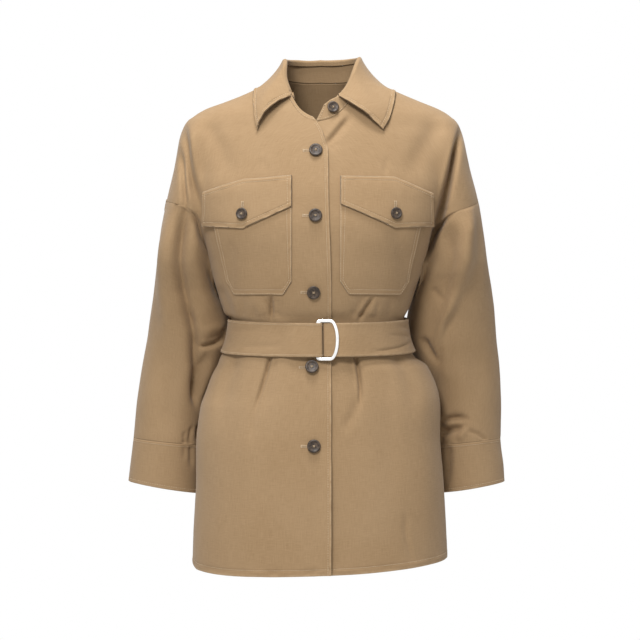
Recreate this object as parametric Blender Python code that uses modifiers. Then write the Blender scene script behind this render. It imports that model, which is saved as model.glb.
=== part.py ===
"""Belted cotton jacket, each cut and sewn piece its own solid, in metres.

X runs to the wearer's left, -Y to the front and +Z up. The origin is at the base of the neck.
"""
import math

import bmesh
import bpy
import numpy as np
from mathutils import Vector

OBJECT_NAME = "belted_jacket"

# Walls of one and of two layers of cloth, and the gaps at seams and under what is laid on.
CLOTH = 0.0014
DOUBLE_CLOTH = 0.0020
SEAM_GAP = 0.0004
LAY_GAP = 0.0011
OVERLAP_LIFT = 0.0026

# How softly a sleeve runs into the body, and how the belted waist drops to the front.
ARM_BLEND = 0.014
ARM_TOP = -0.030
WAIST_LEVEL = -0.357
WAIST_TILT = 0.071
WAIST_REACH = 0.13
UNDERARM_LEVEL = -0.262
HEM_LEVEL = -0.710
FRONT_NECK_SAG = 0.020
BACK_NECK_SAG = 0.008

PANEL_COLUMNS = 11
BACK_COLUMNS = 9
ARMHOLE_ROWS = 9
SHOULDER_ROWS = 8
SLEEVE_ROWS = 16
BODY_LEVELS = (-0.672, -0.630, -0.588, -0.546, -0.506, -0.472, -0.444, -0.420, -0.400,
               -0.383, -0.357, -0.331, -0.322, -0.310, -0.296, -0.280)

# Horizontal sections of the body under the cloth's outer face.
TORSO_COLUMNS = ("level", "half_width", "middle", "front", "back", "squareness")
TORSO = (
    (-0.740, 0.1940, 0.000, 0.142, 0.138, 2.30),
    (-0.684, 0.1930, 0.000, 0.138, 0.137, 2.30),
    (-0.593, 0.1885, 0.000, 0.131, 0.135, 2.30),
    (-0.517, 0.1850, -0.0025, 0.1235, 0.133, 2.30),
    (-0.468, 0.1822, 0.0005, 0.1175, 0.128, 2.30),
    (-0.436, 0.1745, 0.0033, 0.1130, 0.120, 2.25),
    (-0.404, 0.1600, 0.0033, 0.1075, 0.108, 2.20),
    (-0.389, 0.1465, -0.004, 0.1037, 0.099, 2.20),
    (-0.357, 0.1345, -0.004, 0.1000, 0.094, 2.20),
    (-0.331, 0.1315, -0.004, 0.0970, 0.090, 2.20),
    (-0.325, 0.1370, -0.0070, 0.0980, 0.094, 2.20),
    (-0.312, 0.1430, -0.0062, 0.1050, 0.101, 2.20),
    (-0.290, 0.1500, -0.0060, 0.1120, 0.108, 2.20),
    (-0.251, 0.1625, -0.0050, 0.1185, 0.114, 2.30),
    (-0.198, 0.1780, -0.003, 0.1215, 0.117, 2.75),
    (-0.152, 0.1910, -0.001, 0.1150, 0.114, 2.75),
    (-0.106, 0.2030, 0.001, 0.1015, 0.107, 2.45),
    (-0.061, 0.2090, 0.002, 0.085, 0.096, 2.30),
    (-0.040, 0.2045, 0.002, 0.076, 0.088, 2.20),
    (-0.027, 0.1960, 0.003, 0.070, 0.083, 2.20),
    (-0.015, 0.1775, 0.003, 0.064, 0.079, 2.10),
    (-0.003, 0.1480, 0.0045, 0.058, 0.075, 2.00),
    (0.009, 0.1185, 0.0055, 0.052, 0.071, 2.00),
    (0.020, 0.0940, 0.0045, 0.046, 0.067, 2.00),
    (0.033, 0.0655, 0.003, 0.038, 0.062, 2.00),
    (0.050, 0.0400, 0.000, 0.026, 0.050, 2.00),
)

# Horizontal sections of each sleeve.
ARM_COLUMNS = ("level", "outer_right", "outer_left", "inner_right", "inner_left", "middle_y",
               "half_depth")
ARM = (
    (-0.020, 0.1830, 0.1860, 0.1500, 0.1500, 0.000, 0.026),
    (-0.040, 0.2037, 0.2090, 0.1500, 0.1500, 0.000, 0.045),
    (-0.061, 0.2128, 0.2174, 0.1520, 0.1520, 0.000, 0.056),
    (-0.106, 0.2219, 0.2280, 0.1550, 0.1550, 0.002, 0.063),
    (-0.152, 0.2330, 0.2396, 0.1590, 0.1590, 0.005, 0.067),
    (-0.198, 0.2425, 0.2480, 0.1650, 0.1630, 0.009, 0.069),
    (-0.243, 0.2485, 0.2550, 0.1700, 0.1630, 0.017, 0.070),
    (-0.262, 0.2510, 0.2585, 0.1650, 0.1550, 0.027, 0.070),
    (-0.275, 0.2528, 0.2612, 0.1605, 0.1500, 0.036, 0.070),
    (-0.290, 0.2550, 0.2640, 0.1550, 0.1430, 0.044, 0.069),
    (-0.320, 0.2595, 0.2685, 0.1405, 0.1355, 0.053, 0.067),
    (-0.340, 0.2628, 0.2703, 0.1350, 0.1330, 0.058, 0.0655),
    (-0.362, 0.2660, 0.2720, 0.1355, 0.1345, 0.061, 0.064),
    (-0.404, 0.2740, 0.2765, 0.1480, 0.1500, 0.066, 0.061),
    (-0.436, 0.2790, 0.2785, 0.1640, 0.1690, 0.067, 0.059),
    (-0.468, 0.2835, 0.2795, 0.1745, 0.1755, 0.067, 0.057),
    (-0.517, 0.2880, 0.2785, 0.1805, 0.1765, 0.064, 0.054),
    (-0.560, 0.2930, 0.2830, 0.1820, 0.1800, 0.062, 0.052),
    (-0.610, 0.2980, 0.2855, 0.1840, 0.1830, 0.060, 0.051),
)

# Lower edge of the body, by angle round it from the front.
HEM_COLUMNS = ("angle", "level")
HEM = (
    (-180, -0.712), (-135, -0.710), (-90, -0.700), (-75, -0.709), (-45, -0.7135),
    (0, -0.711), (20, -0.709), (45, -0.704), (70, -0.697), (90, -0.693), (135, -0.705),
    (180, -0.712),
)

# Free edges of the two fronts, which widen into the open neck.
EDGE_COLUMNS = ("level", "right_edge", "left_edge")
EDGE = (
    (-0.720, 0.0162, -0.030),
    (-0.300, 0.0166, -0.030),
    (-0.150, 0.0130, -0.034),
    (-0.081, 0.0119, -0.034),
    (-0.068, 0.0082, -0.030),
    (-0.053, 0.0035, -0.021),
    (-0.040, -0.0040, -0.008),
    (-0.031, -0.0070, -0.001),
)

# Rows from the underarm up the armhole seam, then up the shoulder seam to the neck.
ARMHOLE_COLUMNS = ("front_level", "back_level", "right_x", "right_level", "left_x", "left_level")
ARMHOLE = (
    (-0.262, -0.262, 0.1695, -0.262, 0.1695, -0.262),
    (-0.234, -0.232, 0.1735, -0.236, 0.1712, -0.236),
    (-0.206, -0.203, 0.1790, -0.209, 0.1730, -0.209),
    (-0.184, -0.178, 0.1860, -0.180, 0.1850, -0.1850),
    (-0.166, -0.155, 0.2080, -0.162, 0.2080, -0.1695),
    (-0.150, -0.132, 0.2356, -0.151, 0.2356, -0.151),
)
SHOULDER_COLUMNS = ("front_level", "back_level", "seam_level")
SHOULDER = (
    (-0.150, -0.132, -0.151),
    (-0.124, -0.100, -0.106),
    (-0.102, -0.068, -0.062),
    (-0.086, -0.042, -0.034),
    (-0.073, -0.020, -0.016),
    (-0.061, -0.001, 0.001),
    (-0.050, 0.018, 0.016),
    (-0.038, 0.038, 0.033),
)

# Folds of the body: angle and level at both ends, half width and height (a trough is below zero).
BODY_FOLD_COLUMNS = ("angle_0", "level_0", "angle_1", "level_1", "half_width", "height")
BODY_FOLDS = (
    (-36, -0.328, -33, -0.298, 0.011, -0.0032),
    (-45, -0.326, -47, -0.298, 0.012, 0.0018),
    (-37, -0.384, -39, -0.475, 0.010, -0.0032),
    (29, -0.328, 34, -0.298, 0.011, -0.0032),
    (42, -0.326, 44, -0.298, 0.012, 0.0018),
    (27, -0.384, 28, -0.455, 0.010, -0.0032),
    (-66, -0.384, -62, -0.500, 0.016, -0.0040),
    (62, -0.384, 58, -0.480, 0.016, -0.0040),
    (150, -0.327, 154, -0.270, 0.012, -0.0055),
    (-152, -0.327, -150, -0.268, 0.012, -0.0055),
    (171, -0.327, 173, -0.285, 0.012, -0.0050),
    (-168, -0.384, -171, -0.470, 0.013, -0.0060),
    (140, -0.384, 136, -0.480, 0.014, -0.0055),
    (-136, -0.384, -132, -0.490, 0.014, -0.0055),
    (164, -0.384, 166, -0.450, 0.012, -0.0050),
)

# Folds of a sleeve: angle from its outer side towards the front, and level, at both ends.
SLEEVE_FOLD_COLUMNS = ("side", "angle_0", "level_0", "angle_1", "level_1", "half_width", "height")
SLEEVE_FOLDS = (
    (-1, 88, -0.180, 98, -0.380, 0.011, -0.0085),
    (-1, 100, -0.360, 136, -0.465, 0.012, -0.0075),
    (-1, 150, -0.357, 106, -0.374, 0.009, -0.0050),
    (-1, 120, -0.215, 128, -0.340, 0.013, 0.0040),
    (-1, 235, -0.300, 290, -0.340, 0.016, -0.0045),
    (1, 104, -0.200, 124, -0.350, 0.014, -0.0050),
    (1, 78, -0.185, 114, -0.395, 0.014, 0.0040),
    (1, 140, -0.505, 96, -0.478, 0.010, -0.0045),
    (1, 235, -0.290, 290, -0.335, 0.016, -0.0045),
)

CUFF_TOP = -0.5210
CUFF_TOP_SLOPE = 0.10
CUFF_FOOT = -0.5915
CUFF_FOOT_SLOPE = 0.165

# Collar stand: place along the neck seam from the right front end, and the way and height it rises.
STAND_COLUMNS = ("place", "lean_x", "lean_y", "lean_z", "height")
STAND = (
    (0.00, -0.45, 0.45, 0.55, 0.012),
    (0.08, -0.20, 0.40, 0.80, 0.020),
    (0.14, -0.10, 0.35, 0.92, 0.0245),
    (0.25, 0.36, 0.15, 1.00, 0.0265),
    (0.50, 0.00, -0.16, 1.00, 0.033),
    (0.75, -0.26, 0.15, 1.00, 0.031),
    (0.89, -0.02, 0.28, 1.00, 0.0275),
    (0.945, 0.12, 0.28, 1.00, 0.0315),
    (1.00, 0.44, 0.18, 0.90, 0.0345),
)
STAND_FOOT_GAP = 0.0016
STAND_END_ROUND = 0.25
STAND_BUTTON_PLACE = 0.950
STAND_BUTTON_LIFT = 0.001

LEAF_FROM = 0.086
LEAF_TO = 0.932
LEAF_COLUMNS_ACROSS = 30
LEAF_ROWS = 6
# Outer edge of the collar leaf: where it lies on the shoulders (front -1, back 1) and how far off them.
LEAF_COLUMNS = ("x", "level", "face", "lift")
LEAF = (
    (-0.0940, -0.0523, -1, 0.006),
    (-0.0985, -0.0260, -1, 0.0055),
    (-0.1000, -0.0030, -1, 0.0065),
    (-0.0990, 0.0100, -1, 0.0086),
    (-0.0960, 0.0090, 1, 0.0095),
    (-0.0760, -0.0020, 1, 0.0085),
    (0.0000, -0.0080, 1, 0.007),
    (0.0800, -0.0030, 1, 0.0085),
    (0.1075, 0.0070, 1, 0.0090),
    (0.1130, 0.0090, -1, 0.0081),
    (0.1115, -0.0035, -1, 0.0065),
    (0.1040, -0.0330, -1, 0.0055),
    (0.0940, -0.0523, -1, 0.006),
)
LEAF_OUT = 0.010
LEAF_DROP = 0.022
LEAF_BULGE = 0.010
LEAF_ARCH_RIGHT = (-0.0095, -0.005, 0.0125)
LEAF_ARCH_LEFT = (0.0010, -0.005, 0.0045)

# Patch pockets and their pointed flaps, seen from the front.
POCKET_COLUMNS = ("name", "side", "inner_x", "outer_top", "outer_foot", "top", "foot", "corner")
POCKETS = (
    ("pocket_right", -1, 0.0415, 0.166, 0.140, -0.150, -0.2965, 0.020),
    ("pocket_left", 1, 0.0295, 0.159, 0.131, -0.150, -0.2965, 0.020),
)
FLAP_COLUMNS = ("name", "side", "inner_x", "outer_x", "top_in", "top_mid", "top_out", "foot_in", "point",
                "foot_out", "point_x")
FLAPS = (
    ("flap_right", -1, 0.0415, 0.172, -0.1215, -0.1260, -0.143, -0.1680, -0.199, -0.194, 0.113),
    ("flap_left", 1, 0.0300, 0.166, -0.1215, -0.1225, -0.145, -0.1640, -0.198, -0.194, 0.110),
)

FLAP_BUTTON_RISE = 0.021

BELT_WIDTH = 0.0500
BELT_TOP = -0.3320
BELT_LIFT = 0.0046
# Way of the belt: angle round the waist and height of its middle off the cloth.
BELT_COLUMNS = ("angle", "lift")
BELT_START = (
    (-16.0, 0.0032), (-9.0, 0.0032), (-2.0, 0.0032), (2.0, 0.0033), (3.7, 0.0046), (4.3, 0.0078),
    (3.7, 0.0109), (2.0, 0.0122), (-2.0, 0.0123), (-9.0, 0.0121), (-16.0, 0.0108), (-23.0, 0.0078),
    (-30.0, 0.0050),
)
BELT_END = (
    (40.0, 0.0046), (32.0, 0.0048), (25.0, 0.0051), (18.0, 0.0052), (12.0, 0.0052), (9.0, 0.0053),
    (8.1, 0.0058), (7.8, 0.0065), (8.1, 0.0072), (9.0, 0.0079), (12.0, 0.0089), (16.0, 0.0102),
    (21.0, 0.0106), (28.0, 0.0090), (36.0, 0.0066), (44.0, 0.0053), (56.0, 0.0051), (68.0, 0.0051),
    (80.0, 0.0051), (92.0, 0.0051), (104.0, 0.0051), (116.0, 0.0051),
)
BELT_TURNS = 34

RING_HEIGHT = 0.0570
RING_REACH = 0.0270
RING_ARM = 0.0165
RING_CORNER = 0.0030
RING_WIRE = 0.0009
RING_FLAT = 0.0014
RING_STEPS = 18
RING_LEAN = math.radians(-6.3)
# Two D rings: place of the straight bar, its height off the cloth, and the height of the bow.
RING_COLUMNS = ("name", "bar_x", "bar_lift", "bow_lift")
RINGS = (
    ("ring_inner", -0.0034, 0.0065, 0.0065),
    ("ring_outer", -0.0013, 0.0086, 0.0124),
)

BUTTON_RADIUS = 0.0100
SMALL_BUTTON_RADIUS = 0.0088
BUTTON_SIDES = 16
# Half section of a button, in shares of its radius and height.
BUTTON_PROFILE_COLUMNS = ("radius", "height")
BUTTON_PROFILE = (
    (0.00, 1.00), (0.62, 1.00), (0.74, 1.28), (0.92, 1.24), (1.00, 0.80), (0.86, 0.00), (0.00, 0.00),
)
BUTTON_HEIGHT = 0.0028
BUTTON_GAP = 0.0012
FRONT_BUTTON_COLUMNS = ("name", "x", "level", "lift")
FRONT_BUTTONS = (
    ("button_1", -0.0062, -0.0835, 0.0),
    ("button_2", -0.0069, -0.1805, 0.0),
    ("button_3", -0.0094, -0.2930, 0.0),
    ("button_4", -0.0118, -0.4050, 0.0018),
    ("button_5", -0.0089, -0.5210, 0.0),
)

KHAKI = (0.36, 0.235, 0.115, 1.0)
METAL = (0.86, 0.86, 0.85, 1.0)
HORN = (0.060, 0.040, 0.028, 1.0)


def column(table, columns, name):
    return [row[columns.index(name)] for row in table]


def curve_through(stations, values):
    """Smooth curve through a table column that never overshoots, level beyond its ends."""
    x = np.asarray(stations, float)
    y = np.asarray(values, float)
    step = np.diff(x)
    slope = np.diff(y) / step
    tangent = np.zeros(len(x))
    tangent[0] = slope[0]
    tangent[-1] = slope[-1]
    for i in range(1, len(x) - 1):
        if slope[i - 1] * slope[i] > 0:
            before = 2 * step[i] + step[i - 1]
            after = step[i] + 2 * step[i - 1]
            tangent[i] = (before + after) / (before / slope[i - 1] + after / slope[i])

    def at(where):
        t = np.clip(np.asarray(where, float), x[0], x[-1])
        i = np.clip(np.searchsorted(x, t, side="right") - 1, 0, len(x) - 2)
        u = (t - x[i]) / step[i]
        return ((1 + 2 * u) * (1 - u) ** 2 * y[i] + u * (1 - u) ** 2 * step[i] * tangent[i]
                + u * u * (3 - 2 * u) * y[i + 1] + u * u * (u - 1) * step[i] * tangent[i + 1])

    return at


def table_curves(table, columns, along):
    stations = column(table, columns, along) if along else list(range(len(table)))
    order = np.argsort(stations)
    curves = {}
    for name in columns:
        if name != along and not isinstance(table[0][columns.index(name)], str):
            values = column(table, columns, name)
            curves[name] = curve_through([stations[i] for i in order], [values[i] for i in order])
    return curves


def ease(value, low, high):
    u = np.clip((np.asarray(value, float) - low) / (high - low), 0.0, 1.0)
    return u * u * (3 - 2 * u)


TORSO_AT = table_curves(TORSO, TORSO_COLUMNS, "level")
ARM_AT = table_curves(ARM, ARM_COLUMNS, "level")
HEM_AT = table_curves(HEM, HEM_COLUMNS, "angle")
EDGE_AT = table_curves(EDGE, EDGE_COLUMNS, "level")
ARMHOLE_AT = table_curves(ARMHOLE, ARMHOLE_COLUMNS, None)
SHOULDER_AT = table_curves(SHOULDER, SHOULDER_COLUMNS, None)
STAND_AT = table_curves(STAND, STAND_COLUMNS, "place")


def arm_section(side, z):
    outer = ARM_AT["outer_left" if side > 0 else "outer_right"](z)
    inner = ARM_AT["inner_left" if side > 0 else "inner_right"](z)
    return 0.5 * (outer + inner), 0.5 * (outer - inner), ARM_AT["middle_y"](z), ARM_AT["half_depth"](z)


def waist_tilt(level):
    return WAIST_TILT * (1 - ease(np.abs(level - WAIST_LEVEL), 0.03, WAIST_REACH))


def torso_distance(x, y, z):
    level = z - waist_tilt(z) * y
    level = z - waist_tilt(level) * y
    half_width = TORSO_AT["half_width"](level)
    x = x - TORSO_AT["middle"](level)
    depth = np.where(y < 0, TORSO_AT["front"](level), TORSO_AT["back"](level))
    power = TORSO_AT["squareness"](level)
    gauge = ((np.abs(x) / half_width) ** power + (np.abs(y) / depth) ** power) ** (1 / power) + 1e-9
    return np.hypot(x, y) * (1 - 1 / gauge) - 1e-9


def arm_distance(side, x, y, z):
    middle_x, half_x, middle_y, half_y = arm_section(side, z)
    dx = side * x - middle_x
    dy = y - middle_y
    gauge = np.sqrt((dx / half_x) ** 2 + (dy / half_y) ** 2) + 1e-9
    return np.hypot(dx, dy) * (1 - 1 / gauge)


def form_distance(side, x, y, z):
    body = torso_distance(x, y, z)
    arm = arm_distance(side, x, y, z) + 2 * np.clip(z - ARM_TOP, 0, None)
    soft = np.clip(ARM_BLEND - np.abs(body - arm), 0, None) / ARM_BLEND
    return np.minimum(body, arm) - soft * soft * ARM_BLEND / 4


def crossing(distance, inside, outside):
    """Where a straight way from inside to outside leaves the form."""
    near = np.array(inside, float)
    far = np.array(outside, float)
    for _ in range(44):
        half = 0.5 * (near + far)
        within = distance(half) < 0
        near = np.where(within, half, near)
        far = np.where(within, far, half)
    return 0.5 * (near + far)


def seam_reach(side, z):
    z = np.asarray(z, float)
    return crossing(lambda x: form_distance(side, side * x, np.zeros_like(x), z),
                    np.zeros_like(z), np.full_like(z, 0.4))


def form_depth(side, face, x, z):
    x, z = np.broadcast_arrays(np.asarray(x, float), np.asarray(z, float))
    depth = crossing(lambda d: form_distance(side, x, face * d, z), np.zeros_like(x), np.full_like(x, 0.3))
    return face * depth


def form_normal(side, points):
    x, y, z = points[..., 0], points[..., 1], points[..., 2]
    step = 0.0004
    slope = np.stack([
        form_distance(side, x + step, y, z) - form_distance(side, x - step, y, z),
        form_distance(side, x, y + step, z) - form_distance(side, x, y - step, z),
        form_distance(side, x, y, z + step) - form_distance(side, x, y, z - step)], -1)
    return slope / (np.linalg.norm(slope, axis=-1, keepdims=True) + 1e-12)


def fold_height(across, along_angle, along_level, table, columns):
    """Sum of soft troughs and ridges, each with tapered ends."""
    total = np.zeros_like(along_level)
    for row in table:
        part = dict(zip(columns, row))
        turn = (along_angle - part["angle_0"] + 180) % 360 - 180
        run_angle = math.radians(part["angle_1"] - part["angle_0"]) * across
        run_level = part["level_1"] - part["level_0"]
        off_angle = np.radians(turn) * across
        off_level = along_level - part["level_0"]
        length = np.hypot(run_angle, run_level)
        travel = (off_angle * run_angle + off_level * run_level) / length ** 2
        aside = (off_angle * run_level - off_level * run_angle) / length
        shape = np.exp(-(aside / part["half_width"]) ** 2)
        total += part["height"] * shape * ease(travel, -0.12, 0.10) * (1 - ease(travel, 0.55, 1.10))
    return total


def body_folds(points):
    x, y, z = points[..., 0], points[..., 1], points[..., 2]
    angle = np.degrees(np.arctan2(x, -y))
    return fold_height(np.hypot(x, y), angle, z, BODY_FOLDS, BODY_FOLD_COLUMNS)


def overlap_lift(side, points):
    """The right front lies over the left one."""
    if side > 0:
        return np.zeros(points.shape[:-1])
    return OVERLAP_LIFT * ease(points[..., 0], -0.085, -0.045) * (points[..., 1] < 0)


def torso_points(angle, level):
    """Points of the belted body at angles round it from the front."""
    sine = np.sin(np.radians(angle))
    cosine = np.cos(np.radians(angle))
    half_width = TORSO_AT["half_width"](level)
    depth = np.where(cosine > 0, TORSO_AT["front"](level), TORSO_AT["back"](level))
    power = TORSO_AT["squareness"](level)
    radius = ((np.abs(sine) / half_width) ** power + (np.abs(cosine) / depth) ** power) ** (-1 / power)
    x = radius * sine + TORSO_AT["middle"](level)
    y = -radius * cosine
    return np.stack([x, y, level + waist_tilt(level) * y], -1)


def grid_normal(points):
    down = np.gradient(points, axis=0)
    across = np.gradient(points, axis=1)
    normal = np.cross(across, down)
    return normal / (np.linalg.norm(normal, axis=-1, keepdims=True) + 1e-12)


def facing_out(points, normal, centre):
    """Turn the normals of a grid away from the line or point it wraps."""
    away = ((points - centre) * normal).sum()
    return normal if away > 0 else -normal


def body_grid(side, face, columns):
    """Half of the body from its middle edge to the side, armhole and shoulder seams."""
    share = np.linspace(0, 1, columns + 1)
    lower = []
    outer_angle = 90.0
    for index in range(len(BODY_LEVELS) + 1):
        level = np.full(columns + 1, UNDERARM_LEVEL if index == 0 else BODY_LEVELS[-index])
        lower.append(body_row(side, face, share, level, outer_angle))
    hem_angle = body_angles(side, face, share, np.full(columns + 1, HEM_LEVEL), outer_angle)
    hem = torso_points(hem_angle, HEM_AT["level"]((hem_angle + 180) % 360 - 180))
    lower.append(hem)
    rows = lower[::-1]
    base = rows[-1]
    reach = (base[:, 0] - base[0, 0]) / (base[-1, 0] - base[0, 0])
    name = "front_level" if face < 0 else "back_level"
    hand = "left" if side > 0 else "right"
    for index in range(1, ARMHOLE_ROWS + 1):
        place = (len(ARMHOLE) - 1) * index / ARMHOLE_ROWS
        seam_x = float(ARMHOLE_AT[hand + "_x"](place))
        seam_x += (side * base[-1, 0] - ARMHOLE[0][2]) * (1 - float(ease(place, 0.0, 2.2)))
        seam_z = float(ARMHOLE_AT[hand + "_level"](place))
        true_reach = float(seam_reach(side, seam_z))
        blend = float(ease(place, len(ARMHOLE) - 2.2, len(ARMHOLE) - 1))
        seam_x += (true_reach - seam_x) * blend
        rows.append(upper_row(side, face, reach, float(ARMHOLE_AT[name](place)), seam_x, seam_z, 0.0))
    for index in range(1, SHOULDER_ROWS + 1):
        place = (len(SHOULDER) - 1) * index / SHOULDER_ROWS
        seam_z = float(SHOULDER_AT["seam_level"](place))
        sag = (FRONT_NECK_SAG if face < 0 else BACK_NECK_SAG) * (index / SHOULDER_ROWS) ** 3
        rows.append(upper_row(side, face, reach, float(SHOULDER_AT[name](place)),
                              float(seam_reach(side, seam_z)), seam_z, sag))
    return np.array(rows)


def middle_x(side, face, z):
    if face > 0:
        return np.zeros_like(np.asarray(z, float))
    return EDGE_AT["left_edge" if side > 0 else "right_edge"](z)


def body_angles(side, face, share, level, outer_angle):
    if face > 0:
        return side * (180 - share * (180 - outer_angle))
    edge = middle_x(side, face, level) - TORSO_AT["middle"](level)
    start = np.degrees(np.arcsin(edge / TORSO_AT["front"](level)))
    return start + share * (side * outer_angle - start)


def body_row(side, face, share, level, outer_angle):
    return torso_points(body_angles(side, face, share, level, outer_angle), level)


def upper_row(side, face, reach, middle_level, seam_x, seam_z, sag):
    start = float(middle_x(side, face, middle_level))
    x = start + (side * seam_x - start) * reach
    scoop = np.sin(np.pi * reach) if face < 0 else np.cos(0.5 * np.pi * reach)
    z = middle_level + (seam_z - middle_level) * reach - sag * scoop
    y = form_depth(side, face, x, z)
    y[-1] = 0.0 if abs(seam_x - float(seam_reach(side, seam_z))) < 1e-4 else y[-1]
    return np.stack([x, y, z], -1)


def finish_body(side, points):
    """Add the folds and the overlap to a plain body grid."""
    normal = facing_out(points, grid_normal(points), np.array([0.0, 0.0, 0.0]) + points * [0, 0, 1])
    height = body_folds(points) + overlap_lift(side, points)
    return points + normal * height[..., None]


def pull_back(points, gap, first_row=False, last_row=False, first_column=False, last_column=False):
    """Draw the sewn edges of a grid back by half the seam gap."""
    moved = points.copy()
    if first_row:
        moved[0] += gap * unit(points[1] - points[0])
    if last_row:
        moved[-1] += gap * unit(points[-2] - points[-1])
    if first_column:
        moved[:, 0] += gap * unit(points[:, 1] - points[:, 0])
    if last_column:
        moved[:, -1] += gap * unit(points[:, -2] - points[:, -1])
    return moved


def unit(vectors):
    return vectors / (np.linalg.norm(vectors, axis=-1, keepdims=True) + 1e-12)


def front_point(side, x, z, lift):
    """A point on a front with its folds, moved out by a lift."""
    x = np.asarray(x, float)
    z = np.asarray(z, float)
    base = np.stack([x, form_depth(side, -1, x, z), z], -1)
    normal = form_normal(side, base)
    height = body_folds(base) + overlap_lift(side, base) + lift
    return base + normal * height[..., None], normal


def sleeve_grid(side, ring):
    """Rows of a sleeve from the armhole ring down to the cuff seam."""
    count = len(ring)
    centre_x, half_x, middle_y, half_y = arm_section(side, ring[:, 2])
    across = (side * ring[:, 0] - centre_x) / half_x
    forward = -(ring[:, 1] - middle_y) / half_y
    start = np.unwrap(np.arctan2(forward, across))
    even = np.arange(count) * 2 * np.pi / count
    start += 2 * np.pi * np.round((even - start).mean() / (2 * np.pi))
    plain = sleeve_points(side, start, ring[:, 2])
    shift = ring - plain
    fade = 0.21 + 0.09 * np.cos(even)
    rows = [ring]
    foot_middle = arm_section(side, CUFF_TOP)
    foot_level = CUFF_TOP + CUFF_TOP_SLOPE * foot_middle[1] * np.cos(even)
    for index in range(1, SLEEVE_ROWS + 1):
        share = index / SLEEVE_ROWS
        level = ring[:, 2] + (foot_level - ring[:, 2]) * share
        angle = start + (even - start) * ease(share, 0.0, 0.55)
        points = sleeve_points(side, angle, level)
        rows.append(points + shift * (1 - ease(share / fade, 0.0, 1.0))[:, None])
    return np.array(rows)


def sleeve_points(side, angle, level):
    centre_x, half_x, middle_y, half_y = arm_section(side, level)
    x = side * (centre_x + half_x * np.cos(angle))
    return np.stack([x, middle_y - half_y * np.sin(angle), level], -1)


def sleeve_folds(side, points):
    centre_x, half_x, middle_y, half_y = arm_section(side, points[..., 2])
    angle = np.degrees(np.arctan2(-(points[..., 1] - middle_y), side * points[..., 0] - centre_x))
    mine = tuple(row[1:] for row in SLEEVE_FOLDS if row[0] == side)
    return fold_height(0.5 * (half_x + half_y), angle, points[..., 2], mine, SLEEVE_FOLD_COLUMNS[1:])


def finish_sleeve(side, points):
    height = sleeve_folds(side, points)
    height[0] = 0.0
    height[-1] = 0.0
    centre_x, half_x, middle_y, half_y = arm_section(side, points[..., 2])
    out = np.stack([side * (side * points[..., 0] - centre_x), points[..., 1] - middle_y,
                    np.zeros_like(middle_y)], -1)
    return points + unit(out) * height[..., None]


def cuff_grid(side, count, rows):
    even = np.arange(count) * 2 * np.pi / count
    grid = []
    for index in range(rows + 1):
        share = index / rows
        middle = CUFF_TOP + (CUFF_FOOT - CUFF_TOP) * share
        slope = CUFF_TOP_SLOPE + (CUFF_FOOT_SLOPE - CUFF_TOP_SLOPE) * share
        level = middle + slope * arm_section(side, middle)[1] * np.cos(even)
        grid.append(sleeve_points(side, even, level))
    return np.array(grid)


def along_line(points, places):
    """Points at even shares of the length of a line."""
    length = np.concatenate([[0], np.cumsum(np.linalg.norm(np.diff(points, axis=0), axis=1))])
    length /= length[-1]
    return np.stack([np.interp(places, length, points[:, k]) for k in range(3)], -1)


def line_share(points, indices):
    length = np.concatenate([[0], np.cumsum(np.linalg.norm(np.diff(points, axis=0), axis=1))])
    return [length[i] / length[-1] for i in indices]


def smooth_line(points, places):
    points = np.asarray(points, float)
    length = np.concatenate([[0], np.cumsum(np.linalg.norm(np.diff(points, axis=0), axis=1))])
    length /= length[-1]
    return np.stack([curve_through(length, points[:, k])(places) for k in range(3)], -1)


def stand_grid(neck, places, rows):
    foot = along_line(neck, places)
    lean = [STAND_AT[name](places) for name in ("lean_x", "lean_y", "lean_z")]
    rise = unit(np.stack(lean, -1))
    height = STAND_AT["height"](places)
    tip = ease(np.minimum(places, 1 - places), -0.02, 0.030)
    grid = []
    for index in range(rows + 1):
        share = index / rows
        climb = STAND_FOOT_GAP + height * share * (1 - STAND_END_ROUND * share * (1 - tip))
        grid.append(foot + rise * climb[:, None])
    return np.array(grid)


def leaf_grid(neck, columns, rows):
    places = np.linspace(LEAF_FROM, LEAF_TO, columns + 1)
    top = stand_grid(neck, places, 4)
    outward = unit(top[-1] * [1, 1, 0])
    fold = top[-1] + outward * (DOUBLE_CLOTH + 0.0014) + np.array([0, 0, 0.0010])
    edge_points = []
    for x, level, face, lift in LEAF:
        side = -1 if x < 0 else 1
        base = np.array([x, float(form_depth(side, face, np.array([x]), np.array([level]))[0]), level])
        edge_points.append(base + form_normal(side, base) * lift)
    edge = smooth_line(edge_points, np.linspace(0, 1, columns + 1))
    ends = ease(np.minimum(places - LEAF_FROM, LEAF_TO - places), 0.0, 0.14)[:, None]
    draped = fold + outward * LEAF_OUT - np.array([0, 0, LEAF_DROP])
    arch = np.where(places[:, None] < 0.5, LEAF_ARCH_RIGHT, LEAF_ARCH_LEFT)
    middle = (0.5 * (fold + edge) + outward * LEAF_BULGE + arch) * (1 - ends) + draped * ends
    grid = []
    for index in range(rows + 1):
        share = index / rows
        grid.append(fold * (1 - share) ** 2 + middle * 2 * share * (1 - share) + edge * share ** 2)
    return np.array(grid)


def belt_grid(rows):
    turn = np.linspace(BELT_START[-1][0], BELT_END[0][0] - 360, BELT_TURNS + 1)[1:-1]
    middle = [(angle, BELT_LIFT) for angle in turn]
    end = [(angle - 360, lift) for angle, lift in BELT_END]
    way = np.array(list(BELT_START) + middle + end)
    grid = []
    for index in range(rows + 1):
        level = np.full(len(way), BELT_TOP - BELT_WIDTH * index / rows)
        base = torso_points(way[:, 0], level)
        out = unit(base * [1, 1, 0])
        grid.append(base + out * way[:, 1][:, None])
    return np.array(grid)


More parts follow.
